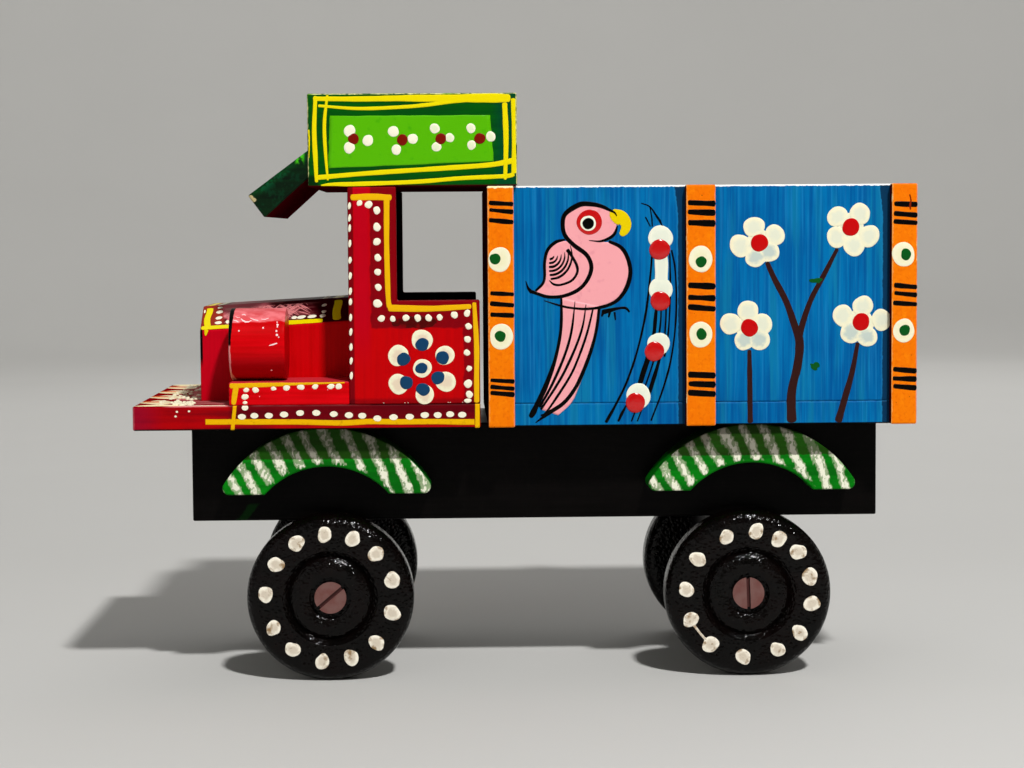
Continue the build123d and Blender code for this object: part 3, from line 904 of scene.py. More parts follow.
def ground_visor():
    """Mottled dark green, with a leaf-green smear at its root, a nick with a painted white highlight, painted shade
    along its foot, chips at its foot and a dusky underside."""
    p = paints()
    low, high = box_of("visor")
    enamel = Enamel("visor_enamel", p.visor_green, mixed(p.visor_green, p.black, 0.6), streak=0.8, shine=0.1)
    x, y, z = enamel.axes
    root, side = high[0], high[1]
    from_foot = z - low[2] - (x - low[0]) * 0.74
    smear = enamel.noise(1.8, 3.0, shift=0.35)
    near_root = x.step(root - 0.0030, root - 0.0022) * x.under(root - 0.0008, 0.0006)
    enamel.cover(smear.step(0.36, 0.46) * near_root * z.step(0.1125, 0.114), tints.root_smear)
    mottles = smear * 0.5 + enamel.noise(0.7, 4.0, shift=0.15) * 0.5
    enamel.cover(mottles.step(0.5, 0.6) * 0.5, tints.visor_mottles)
    # Painted shade: darker along the visor's foot
    enamel.cover(from_foot.under(0.0034, 0.002) * 0.7, mixed(p.visor_green, p.black, 0.8))
    nick = enamel.nearest([(-52.2, 113.0), (-53.0, 112.4)], 0.5, 0.4)
    enamel.cover(nick.under(1.0, 0.3), p.black)
    # Painted highlight: a white spot by the nick
    painted_glint = enamel.nearest([(-52.0, 112.7)], 0.16, 0.14)
    enamel.cover(painted_glint.under(1.0, 0.3), p.white)
    chips = enamel.nearest([(-59.2, 106.3), (-58.6, 105.7)], 0.6, 0.5) + enamel.fray(0.6, 0.8)
    enamel.cover(chips.under(1.0, 0.3), tints.visor_chips)
    upper = from_foot + enamel.fray(0.9, 0.0006, shift=0.55)
    edge = upper.step(0.0057, 0.0059) * abs(y).step(side - 0.0004, side - 0.0002)
    enamel.cover(edge * enamel.noise(2.0, 2.0, shift=0.5).step(0.35, 0.5) * 0.7, tints.visor_wear)
    underside = from_foot.under(0.0004, 0.0003) * abs(y).under(side - 0.0003, 0.0002)
    enamel.cover(underside, dusk(0.2))
    dress("visor", enamel.done(0.06, dull=underside))


def ground_load_box():
    """Blue boards with brushed streaks, a worn white rim, dark paint and painted shade beside the battens, and dark
    maroon with painted shade on their front faces.
    """
    p = paints()
    for number, node in enumerate(("cargo_side_left", "cargo_side_right", "cargo_front", "tailboard", "cargo_floor")):
        enamel = Enamel(f"{node}_enamel", p.blue, p.deep_blue, brushed=2, gloss=0.4)
        x, y, z = enamel.axes
        low, high = box_of(node)
        shift = 0.11 * number
        # Columns: the streaks' size, detail, draw and shift, start and end of their step, strength, colour
        for size, detail, draw, own, start, end, strength, tone in (
            (2.6, 3.0, 14, 0.0, 0.48, 0.66, 0.6, p.teal),
            (0.5, 3.0, 60, 0.0, 0.52, 0.66, 0.4, tints.pale_streak),
            (0.8, 4.0, 40, 0.4, 0.5, 0.64, 0.55, tints.dark_streak),
        ):
            enamel.cover(enamel.noise(size, detail, (1, 1, draw), shift + own).step(start, end) * strength, tone)
        ragged = enamel.fray(0.8, 0.0005, shift=0.9)
        outer = abs(y).step(0.0322, 0.0324)
        for place in ("middle", "rear"):
            edge = box_of(f"batten_{place}_left")[0][0]
            # Dark paint beside the middle and rear battens, partly painted shade of the battens
            gap = x + ragged + (z - 0.108).most(-0.006) * 0.12
            halo = gap.step(edge - 0.0027, edge - 0.0023) * x.under(edge, 0.0001)
            beside = gap.step(edge - 0.0023, edge - 0.0021) * x.under(edge + 0.0001, 0.0001)
            enamel.cover(halo * outer * 0.5, tints.gap_halo)
            enamel.cover(beside * outer * 0.92, tints.gap)
        seam = abs(z - 0.061).under(0.00012, 0.0001) * enamel.noise(1.5, 3.0, shift=0.7).step(0.45, 0.6)
        enamel.cover(seam * outer * 0.4, tints.seam)
        if node == "cargo_floor":
            enamel.cover(enamel.underside(low), p.black)
        else:
            enamel.cover((high[2] - z + ragged).under(0.00034, 0.00012), tints.rim, -1.0)
        # Dark maroon with painted shade on the front faces, in the narrow gap behind the cab
        front = None
        if node != "tailboard":
            front = (x - low[0]).under(0.00045, 0.0002)
            enamel.cover(front, dusk(0.35))
        dress(node, enamel.done(0.035, dull=front))


def ground_battens():
    """Orange battens with darker and paler mottles, specks and worn edges."""
    p = paints()
    for place, side in product(PLACES, SIDES):
        node = f"batten_{place}_{side}"
        low, high = box_of(node)
        front, rear, top = low[0], high[0], high[2]
        deep = mixed(p.orange, tints.orange_streak, 0.5)
        enamel = Enamel(f"{node}_enamel", p.orange, deep, brushed=2, streak=1.8, gloss=0.4)
        x, _, z = enamel.axes
        enamel.cover(enamel.noise(0.8, 4.0, shift=0.27).step(0.5, 0.66) * 0.45, tints.orange_dark)
        enamel.cover(enamel.noise(1.1, 4.0, shift=0.57).step(0.54, 0.7) * 0.4, tints.orange_pale)
        enamel.specks(2.6, 0.055, tints.orange_specks)
        front_edge = (x - front) + enamel.fray(1.0, 0.0009, shift=0.6)
        enamel.cover(front_edge.under(0.0003, 0.00015) * 0.8, tints.batten_front)
        rear_edge = (rear - x) + enamel.fray(1.3, 0.0004, shift=0.16)
        enamel.cover(rear_edge.under(0.0002, 0.00015) * 0.7, tints.batten_rear)
        foremost = (x - front).under(0.00012, 0.0001)
        enamel.cover(foremost, dusk(0.3))
        enamel.chip([(low, high)], tints.batten_wear, 0.25, 0.36)
        if place == "front":
            worn = (top - z) + enamel.fray(1.0, 0.0009, shift=0.44)
            enamel.cover(worn.under(0.00045, 0.00015), tints.batten_top, -0.5)
        dress(node, enamel.done(0.05, dull=foremost))


def ground_chassis():
    """Glossy black chassis and axle beams, with a smudge of green near the chassis's front."""
    p = paints()
    for node in ("chassis_block", "axle_beam_front", "axle_beam_rear"):
        enamel = Enamel(f"{node}_enamel", p.black, tints.black_thin, brushed=0, gloss=0.3, shine=0.05)
        x, _, z = enamel.axes
        if node == "chassis_block":
            across = abs(x + 0.0622 - (z - 0.036) * 0.8) + enamel.fray(1.2, 0.001)
            enamel.cover(across.under(0.0011, 0.0006) * z.under(0.0382, 0.0008), tints.smudge_green)
        enamel.height = enamel.height * 0.5 + enamel.noise(0.6, 3.0, shift=0.25) * 0.6
        dress(node, enamel.done(0.08))


def ground_fenders():
    """Green fenders under dry white strokes: a wave along the truck, broken up by bristles, whose lean goes
    round with the fender. A painted shadow of the base board darkens their tops."""
    p = paints()
    pitch = 0.0046
    arch_depth = 26.8
    for axle, side in product(AXLES, SIDES):
        node = f"fender_{axle}_{side}"
        low, high = box_of(node)
        enamel = Enamel(f"{node}_enamel", p.fender_green, mixed(p.fender_green, p.black, 0.25), streak=1.5)
        x, y, z = enamel.axes
        middle, top = (low[0] + high[0]) / 2, high[2]
        lean = 0.5 - (x - middle) * 8.0
        slanted = x + (z - top) * lean + enamel.fray(7.0, 0.002, 1.0, 0.12)
        wave = (slanted * (2 * math.pi / pitch)).sine()
        bristles = enamel.noise(0.55, 4.0, (1, 1, 1.8), shift=0.33) - 0.5
        rough = enamel.noise(2.2, 3.0, shift=0.5) - 0.5
        arch = enamel.nearest([(middle / MM, top / MM - arch_depth)], 1.0, 1.0) + bristles * 1.6
        face = abs(y).step(0.0300, 0.0302) * arch.step(18.7, 19.3)
        thin = (wave + bristles * 2.2 + rough * 1.6).step(-0.35, 0.25) * (rough + 0.75)
        enamel.cover(thin * face * 0.8, mixed(p.white, tints.thin_white, 0.45), 0.5)
        thick = (wave + bristles * 4.0 + rough * 3.0).step(0.5, 0.9)
        enamel.cover(thick * face, tints.dry_white, 1.0)
        # Painted shadow of the base board over the fenders' tops
        enamel.cover((z + bristles * 0.0006).step(top - 0.0071, top - 0.0068) * 0.72, dusk(0.7))
        dress(node, enamel.done(0.07))


def ground_wheels():
    """Granular gloss black wheels, and tarnished steel screws with painted shade in the slot."""
    p = paints()
    for axle, side in product(AXLES, SIDES):
        node = f"wheel_{axle}_{side}"
        finish = Finish(f"{node}_enamel", 0.12, 0.15)
        grains = 1 - finish.cells(0.85).step(0.0, 0.75)
        clouds = finish.noise(5.0, 3.0)
        finish.paint(finish.blend(clouds.step(0.3, 0.7), p.black, tints.wheel_thin))
        finish.join(finish.shader.inputs["Roughness"], clouds * 0.12 + 0.06)
        finish.relief(grains * 0.6 + finish.noise(0.6, 2.0) * 0.6, 0.17)
        dress(node, finish.material)

        node = f"wheel_screw_{axle}_{side}"
        finish = Finish(f"{node}_steel", 0.45, 0.25)
        finish.shader.inputs["Metallic"].default_value = 0.2
        stain = finish.noise(2.4, 3.0).step(0.35, 0.7)
        tone = finish.blend(stain * 0.6, mixed(p.steel, tints.tarnish, 0.5), tints.stain)
        head = max(abs(corner[1]) for corner in box_of(node))
        # Painted shade inside the screw's slot
        slot = abs(finish.axes[1]).under(head - 0.00035, 0.0001)
        finish.paint(finish.blend(slot, tone, tints.slot))
        finish.relief(finish.noise(0.25, 2.0, (1, 1, 12)), 0.02)
        dress(node, finish.material)


# Ornament


def paint_cab():
    """The cab's yellow outlines, rows of white dots, smudges and flower of six spotted petals, on both sides."""
    p = paints()
    dot = brushes().cab_dot / MM
    film = brushes().film / MM
    lines = Coat("cab_lines", yellow_pot(), seed=11)
    dots = Coat("cab_dots", white_pot(), seed=12)
    petals = Coat("cab_petals", pot("petal_paint", p.cream, (0.86, 0.74, 0.65), share=0.3, hollow=0.6), seed=13)
    spots = Coat("cab_spots", pot("blue_spot_paint", p.eye_blue, (0.05, 0.2, 0.34), share=0.3), seed=14)
    smudges = Coat("cab_smudges", pot("smudge_paint", (0.3, 0.0, 0.0), (0.5, 0.0, 0.01), share=0.5), seed=15)

    # Columns: place along the truck, height, and for a line its width
    wall_lines = [
        [(-37.7, 106.1, 1.25), (-33.0, 106.2, 1.4), (-28.8, 106.0, 1.35)],
        [(-29.9, 106.3, 1.2), (-30.0, 95.5, 1.15), (-29.8, 84.8, 1.1), (-29.5, 82.2, 1.2)],
        [(-29.9, 82.2, 1.4), (-20.9, 82.0, 1.35), (-11.8, 82.4, 1.0)],
        [(-11.2, 83.3, 0.9), (-10.75, 73.9, 1.1), (-10.8, 66.6, 1.15), (-10.8, 61.5, 1.1)],
    ]
    board_lines = [
        [(-64.3, 65.6, 1.15), (-55.0, 65.8, 0.85), (-46.0, 66.0, 0.45), (-39.4, 66.1, 0.3)],
        [(-62.9, 65.4, 1.35), (-63.3, 63.0, 1.15), (-63.5, 61.5, 0.9)],
    ]
    front_edge = [104.3, 101.7, 99.5, 96.2, 92.6, 89.2, 85.9, 83.6, 80.2, 77.1, 73.8, 70.8, 67.6]
    round_dots = [
        (-35.75, 104.9, 0.6), (-33.8, 104.55, 0.78), (-32.05, 103.3, 0.82), (-32.05, 99.7, 0.82),
        (-32.1, 96.55, 0.82), (-31.95, 93.1, 0.7), (-32.0, 90.0, 0.75), (-31.9, 86.7, 0.72), (-32.1, 83.2, 0.88),
        (-31.3, 79.95, 0.74), (-28.85, 79.85, 0.65), (-26.0, 80.05, 0.75), (-23.45, 80.0, 0.76),
        (-21.1, 80.0, 0.75), (-18.7, 80.1, 0.7), (-15.5, 80.6, 0.75), (-12.75, 80.95, 0.72), (-12.45, 78.1, 0.68),
        (-12.7, 75.3, 0.72), (-12.85, 72.4, 0.72), (-12.4, 68.95, 0.6), (-12.65, 65.65, 0.82), (-12.4, 63.3, 0.84),
    ]
    board_dots = [
        (-60.7, 64.7, 0.6), (-58.7, 64.7, 0.78), (-54.8, 64.95, 0.62), (-52.0, 65.1, 0.72), (-48.9, 65.2, 0.75),
        (-45.8, 65.3, 0.65), (-42.4, 65.3, 0.74), (-40.7, 65.3, 0.74), (-61.0, 63.2, 0.72), (-61.0, 61.95, 0.5),
    ]
    heart = np.array([-22.55, 69.1])
    # Columns: petal's place from the heart, its radius, its blue spot's place
    petal_places = [
        ((0.0, 6.1), 2.25, (0.0, 5.15)), ((4.9, 2.75), 2.05, (4.4, 2.25)), ((5.05, -3.0), 2.15, (3.35, -2.1)),
        ((0.45, -5.7), 2.05, (0.1, -4.6)), ((-5.2, -3.4), 2.15, (-3.5, -3.1)), ((-5.2, 2.8), 2.2, (-4.05, 2.0)),
    ]
    # Columns: smudge's place along the truck, its half length and half height
    smudge_places = [(-27.9, 1.3, 0.8), (-25.2, 2.0, 1.2), (-23.0, 2.2, 1.3), (-20.9, 1.6, 1.0)]
    foot_specks = (-31.0, -26.4, -25.7, -17.0, -16.6, -13.9)
    petal_rise = film * 1.5
    for side in SIDES:
        wall = side_face(f"cab_side_{side}", side)
        board = side_face(f"running_board_{side}", side)
        lines.strokes(wall, wall_lines)
        lines.strokes(board, board_lines)
        for u, wide, tall in smudge_places:
            smudges.dab(wall, u, 79.1, wide, tall, uneven=0.12, rise=0.01)
        for v in front_edge:
            dots.dab(wall, -37.95, v, 0.34 * dots.chance.uniform(0.9, 1.1), 0.8, -0.1)
        dots.drops(wall, round_dots, dot, 1.06)
        dots.dab(wall, -12.75, 61.95, 0.85, 0.45)
        dots.drops(board, board_dots, dot, 0.84)
        for u in foot_specks:
            dots.dab(wall, u, 61.62, 0.13, 0.07)
        petals.dab(wall, *heart, 2.0, 2.05, rise=petal_rise, points=32, uneven=0.03)
        spots.dab(wall, *(heart + (-0.2, 0.0)), 1.32, 1.2, lift=petal_rise, points=28)
        for (u, v), size, spot in petal_places:
            petals.dab(wall, heart[0] + u, heart[1] + v, size, size * 1.04, rise=petal_rise, points=32, uneven=0.03)
            spots.dab(wall, heart[0] + spot[0], heart[1] + spot[1], 1.5, 1.38, lift=petal_rise, points=28)
    for coat in (lines, smudges, dots, petals, spots):
        coat.make()


def paint_cab_front():
    """Dots up the windscreen's posts, over it and under its sill."""
    dots = Coat("cab_front_dots", white_pot(), seed=15)
    dot = brushes().cab_dot / MM
    (front, left, _), (_, right, top) = span("cab_front")
    sill = opening("windscreen")[0][2] / MM
    wall = end_face(front, -1)
    for sign in SIDES.values():
        post = sign * (right - 2.4)
        dots.row(wall, (post, sill + 1.0), (post, top - 4.0), 6, dot)
    dots.row(wall, (left + 6.0, top - 2.2), (right - 6.0, top - 2.2), 15, dot)
    dots.row(wall, (-12.0, sill - 1.8), (12.0, sill - 1.8), 8, dot * 0.9)
    dots.make()


def paint_roof():
    """On the roof box's sides a leaf-green panel in crossed lemon lines, with four flowers of three petals
    on it. On its rear end a frame of lines."""
    p = paints()
    film = brushes().film / MM
    panel = Coat("roof_panel", pot("leaf_paint", p.leaf_green, (0.24, 0.64, 0.01), share=0.4), seed=21)
    lines = Coat("roof_lines", lemon_pot(), seed=22)
    petals = Coat("roof_petals", white_pot(), seed=23)
    thin_white = pot("thin_white_paint", p.white, (0.82, 0.9, 0.7), share=0.3, hollow=0.55)
    thin_petals = Coat("roof_thin_petals", thin_white, seed=25)
    hearts = Coat("roof_hearts", pot("brown_paint", p.brown, (0.3, 0.02, 0.0), share=0.2), seed=24)
    # Columns: place along the truck, height, width
    side_lines = [
        [(-44.95, 127.9, 0.8), (-45.3, 120.7, 1.0), (-45.1, 114.0, 0.95), (-44.95, 109.4, 0.7)],
        [(-42.4, 128.1, 0.55), (-43.1, 121.9, 0.75), (-42.9, 115.0, 0.7), (-42.5, 109.8, 0.4)],
        [(-46.5, 120.7, 0.35), (-46.4, 118.5, 0.3), (-46.5, 114.6, 0.15)],
        [(-45.5, 127.3, 1.0), (-35.7, 127.2, 1.1), (-26.2, 127.3, 1.35), (-16.7, 127.25, 1.6), (-8.0, 127.25, 1.9),
         (-3.0, 127.2, 1.7)],
        [(-44.4, 125.8, 0.6), (-35.7, 125.15, 0.7), (-26.2, 125.45, 0.8), (-20.8, 125.9, 0.8), (-15.0, 126.6, 0.8),
         (-9.0, 126.9, 0.8)],
        [(-4.3, 126.3, 1.15), (-4.05, 118.5, 1.1), (-4.25, 110.9, 0.85), (-4.3, 109.7, 0.4)],
        [(-2.45, 127.2, 1.0), (-2.35, 118.0, 0.85), (-2.4, 111.0, 1.1)],
        [(-45.0, 110.4, 1.0), (-32.7, 111.35, 1.0), (-16.9, 112.3, 1.05), (-7.4, 112.95, 1.1), (-2.1, 113.9, 1.2)],
        [(-44.0, 108.75, 0.3), (-41.5, 108.95, 0.75), (-35.9, 109.0, 0.95), (-23.2, 109.4, 0.9),
         (-13.7, 110.1, 0.9), (-4.2, 110.5, 0.9), (-2.3, 111.0, 1.1)],
    ]
    corners = np.array([(-41.9, 123.6), (-42.45, 112.35), (-6.75, 113.7), (-7.45, 123.6)])
    # Columns: heart's place; then each petal's place from it and its radius
    flowers = [
        ((-36.9, 118.7), [((-0.8, 1.65), 1.3), ((-0.9, -1.9), 1.25), ((3.1, -0.4), 1.2)]),
        ((-26.4, 118.4), [((-1.9, 1.8), 1.2), ((-1.3, -2.1), 1.1), ((2.25, 0.2), 1.12)]),
        ((-18.1, 118.6), [((-1.3, 2.2), 1.1), ((-0.95, -1.75), 1.05), ((1.9, 0.2), 1.0)]),
        ((-9.7, 118.6), [((-1.9, 2.2), 1.05), ((-1.8, -1.4), 1.0), ((2.35, 0.4), 1.1)]),
    ]
    (_, left, bottom), (rear, right, top) = span("roof_box")
    for side in SIDES:
        wall = side_face("roof_box", side)
        share = np.linspace(0, 1, 12, endpoint=False)[:, None]
        outline = np.concatenate([a + (b - a) * share for a, b in zip(corners, np.roll(corners, -1, axis=0))])
        panel.patch(wall, outline + panel.chance.normal(0, 0.05, outline.shape))
        lines.strokes(wall, side_lines)
        for number, ((u, v), around) in enumerate(flowers):
            for (along, up), size in around:
                coat = petals if number < 2 else thin_petals
                coat.dab(wall, u + along, v + up, size * 0.96, size, lift=film, points=28, uneven=0.04)
            hearts.dab(wall, u, v, 1.2, lift=film * 2, uneven=0.03)
    end = end_face(rear, 1)
    for inset, width in ((1.6, 1.1), (3.6, 0.8)):
        for v in (bottom + inset, top - inset):
            lines.stroke(end, [(left + 1, v), (0, v + 0.2), (right - 1, v)], width)
        for u in (left + inset, right - inset):
            lines.stroke(end, [(u, bottom + 1), (u + 0.1, (bottom + top) / 2), (u, top - 1)], width)
    for coat in (panel, lines, petals, thin_petals, hearts):
        coat.make()


def paint_hood():
    """Lemon bands over the hood's front and rear and along its shoulders, dots beside them, crossed strokes on
    its top, and on its front end lemon bars for a grille."""
    hood = HoodTop()
    (front, left, foot), (rear, right, _) = span("hood")
    lines = Coat("hood_lines", lemon_pot(), seed=31)
    dots = Coat("hood_dots", white_pot(), seed=32)
    # Columns: place behind the front end, width
    shoulder_line = [(0.2, 1.15), (8, 1.2), (20, 1.45)]
    # Columns: place behind the front end, height over the foot, width
    band_end = [(1.5, 15.9, 1.0), (1.35, 15.2, 0.7), (1.25, 14.5, 0.3)]
    # Columns: place behind the front end, radius
    shoulder_dots = [
        (6.0, 0.5), (9.6, 0.7), (13.5, 0.75), (17.2, 0.8), (20.9, 0.6), (22.5, 1.0), (24.9, 1.0), (27.3, 0.75),
    ]
    across = np.linspace(left + 0.6, right - 0.6, 13)
    lines.stroke(hood, [(front + 1.5 + 0.25 * math.sin(v), v, 1.4) for v in across])
    lines.stroke(hood, [(rear - 3.4 + 0.25 * math.cos(v), v, 1.9) for v in across])
    for sign in SIDES.values():
        edge = sign * (right - 0.75)
        lines.stroke(hood, [*((front + u, edge, width) for u, width in shoulder_line), (rear - 6.5, edge, 1.3)])
        side = Face((0, sign * right, 0), (1, 0, 0), (0, 0, 1), (0, sign, 0))
        lines.stroke(side, [(front + u, foot + v, width) for u, v, width in band_end])
        for v in (16.1, 14.5, 12.5, 10.8):
            dots.dab(hood, front + 3.9, sign * v, 0.78, 0.52, 0.1)
        dots.dab(hood, front + 0.5, sign * 12.0, 0.22, 0.55)
        for u, size in shoulder_dots:
            dots.dab(hood, front + u, sign * 16.0, size, 0.55, 0.1)
        for v in (14.6, 12.4, 10.4):
            dots.dab(hood, rear - 6.4, sign * v, 0.6, 0.45, 0.3)
    for v in (-8.8, -5.6, -2.1, 1.4, 4.9, 8.3):
        dots.dab(hood, front + 3.9, v, 0.78, 0.9, 0.2)
        dots.dab(hood, rear - 6.4, v, 0.6, 0.6, 0.3)

    hatch = Coat("hood_hatch", pot("hatch_paint", (0.84, 0.5, 0.5), (0.5, 0.2, 0.22), share=0.45), seed=33)
    hatch_rise = 0.02
    hatch_count = 260
    for sign in SIDES.values():
        hatch.dab(hood, front + 8.0, sign * 11.5, 3.2, 1.3, rise=hatch_rise, uneven=0.14)
        hatch.dab(hood, front + 6.3, sign * 13.8, 1.4, 0.8, rise=hatch_rise, uneven=0.14)
    for number in range(hatch_count):
        u = front + hatch.chance.uniform(6.5, 23.0)
        slope = hatch.chance.uniform(9.0, 15.4) * (1 if number % 4 < 2 else -1)
        v = slope if number % 13 else hatch.chance.uniform(-9.0, 9.0)
        angle = (0.75 if number % 2 else -0.75) + hatch.chance.normal(0, 0.15)
        reach = hatch.chance.uniform(1.2, 3.0)
        way = np.array([math.cos(angle), math.sin(angle)]) * reach
        ends = [(u - way[0], v - way[1], 0.1), (u, v + 0.1, 0.26), (u + way[0], v + way[1], 0.08)]
        hatch.stroke(hood, ends, rise=hatch_rise, pointed=True)
    hatch.make()

    end = end_face(front, -1)
    for v in np.linspace(-12, 12, 9):
        lines.stroke(end, [(v, foot + 3.0), (v + 0.1, foot + 8), (v, foot + 15.5)], 1.1)
    for coat in (lines, dots):
        coat.make()


def paint_bumper():
    """On the bumper's top a fringe of pointed cream teeth with orange veins that reach forward to its edge,
    thick cream drops and pale hatching behind them, and thin lines along the sides."""
    (front, left, _), (_, right, top) = span("base_board")
    deck = Face((0, 0, top), (1, 0, 0), (0, 1, 0), (0, 0, 1))
    cream = Coat("bumper_fringe", pot("fringe_paint", (0.97, 0.9, 0.7), (0.92, 0.62, 0.4), share=0.4), seed=41)
    shade = Coat("bumper_shades", pot("fringe_shade_paint", (0.86, 0.4, 0.14), (0.7, 0.12, 0.05), share=0.5), seed=44)
    drops = Coat("bumper_drops", thin_cream_pot(), seed=42)
    hatch = Coat("bumper_hatch", pot("bumper_hatch_paint", (1.0, 0.6, 0.58), (0.85, 0.34, 0.34), share=0.4), seed=43)
    # Columns: place behind the tip, place to the right of the tip
    tooth = np.array([
        (0.15, 0.0), (1.6, -2.2), (3.6, -4.0), (5.8, -4.9), (7.4, -2.4), (7.0, 1.4), (5.6, 5.0), (3.4, 6.4),
        (1.4, 3.0),
    ])
    # Columns: place behind the front edge, place from the middle
    corner = np.array([
        (0.35, 34.2), (4.0, 34.35), (9.2, 34.3), (10.4, 33.6), (8.0, 31.8), (4.8, 30.4), (2.2, 32.0),
    ])
    # Columns: place behind the front edge, place beside the tip and how far it spreads, width
    veins = [(0.9, -0.5, 1.6, 0.1), (2.8, -2.0, 4, 0.7), (5.2, -3.0, 6, 0.4)]
    # Columns: place behind the front edge, width
    side_line = [(9.8, 0.3), (13.0, 0.5), (16, 0.7), (20, 0.4)]
    tips = (-24.0, -7.8, 8.6, 24.6)
    fringe_rise = 0.22
    drop_count, corner_drop_count, hatch_count = 75, 20, 90
    for tip in tips:
        ragged = cream.chance.normal(0, 0.2, tooth.shape) * (tooth[:, :1] > 1)
        cream.patch(deck, smooth_loop(tooth + ragged + (front, tip)), rise=fringe_rise)
        for share in (0.2, 0.6):
            vein = [(front + u, tip + v + spread * share, width) for u, v, spread, width in veins]
            shade.stroke(deck, vein, lift=fringe_rise + 0.01, rise=0.05, pointed=True)
    for sign in SIDES.values():
        cream.patch(deck, smooth_loop(corner * (1, sign) + (front, 0)), rise=fringe_rise)
        edge = sign * (right - 0.7)
        drops.stroke(deck, [(front + u, edge, width) for u, width in side_line], rise=0.08)
    for _ in range(drop_count):
        u = front + drops.chance.uniform(4.4, 12.6)
        v = drops.chance.uniform(left + 1.2, right - 1.2)
        wide = drops.chance.uniform(0.3, 0.6)
        drops.dab(deck, u, v, wide, wide * 1.2, lift=0.05, uneven=0.14, points=14, rise=0.3)
    for _ in range(corner_drop_count):
        for sign in SIDES.values():
            wide = drops.chance.uniform(0.3, 0.55)
            u, v = front + drops.chance.uniform(7.0, 12.5), sign * drops.chance.uniform(24.0, 34.0)
            drops.dab(deck, u, v, wide, wide * 1.3, lift=0.05, uneven=0.14, points=14, rise=0.36)
    for _ in range(hatch_count):
        u = front + hatch.chance.uniform(6.0, 11.8)
        v = hatch.chance.uniform(-15, 26)
        lean = hatch.chance.uniform(-1.2, 1.2)
        hatch.stroke(deck, [(u - 1.0, v - lean, 0.1), (u, v, 0.3), (u + 1.0, v + lean, 0.1)], rise=0.03, pointed=True)
    for coat in (cream, shade, drops, hatch):
        coat.make()


def paint_lamps():
    """A cream lens with a lemon heart on each lamp's front end, and pale pink squiggles and specks on its side."""
    lens = Coat("lamp_lenses", pot("cream_paint", paints().cream, (0.85, 0.78, 0.6)), seed=45)
    heart = Coat("lamp_hearts", lemon_pot(), seed=46)
    chalk = Coat("lamp_squiggles", pot("chalk_paint", (0.97, 0.85, 0.85), (0.95, 0.5, 0.5), share=0.4), seed=47)
    # Columns: place behind the front end, way round from the top, width
    squiggles = [
        [(0.9, 6.3, 0.15), (1.6, 6.5, 0.3), (2.1, 6.9, 0.2)],
        [(2.6, 5.9, 0.15), (3.2, 6.6, 0.4), (4.1, 6.9, 0.35), (4.9, 6.4, 0.15)],
        [(2.7, 4.7, 0.2), (3.1, 4.4, 0.3), (3.6, 4.8, 0.15)],
        [(4.6, 5.7, 0.15), (5.6, 6.3, 0.3), (6.4, 6.5, 0.2)],
        [(7.0, 6.1, 0.15), (7.8, 6.2, 0.25), (8.6, 5.8, 0.15)],
        [(1.4, 5.2, 0.1), (2.0, 5.7, 0.2), (2.4, 5.5, 0.1)],
        [(8.8, 12.4, 0.15), (9.6, 12.2, 0.35), (10.6, 11.9, 0.2)],
    ]
    specks = [
        (10.5, 7.0), (10.6, 7.7), (10.6, 8.2), (10.4, 9.2), (10.5, 10.1), (10.9, 10.6), (7.5, 8.4), (2.3, 9.1),
        (9.1, 18.5),
    ]
    for side in SIDES:
        (front, left, low), (_, right, high) = span(f"headlamp_{side}")
        end = Face((front, (left + right) / 2, (low + high) / 2), (0, 1, 0), (0, 0, 1), (-1, 0, 0))
        lens.dab(end, 0, 0, 5.6, rise=0.05, points=40, uneven=0.02)
        heart.dab(end, 0.2, 0.1, 2.3, lift=0.05, points=28)
        barrel = Barrel(f"headlamp_{side}", side)
        chalk.strokes(barrel, [[(front + u, v, w) for u, v, w in line] for line in squiggles], rise=0.03)
        for u, v in specks:
            wide = chalk.chance.uniform(0.14, 0.27)
            chalk.dab(barrel, front + u, v, wide, wide * 1.1, points=10, rise=0.04)
    for coat in (lens, heart, chalk):
        coat.make()


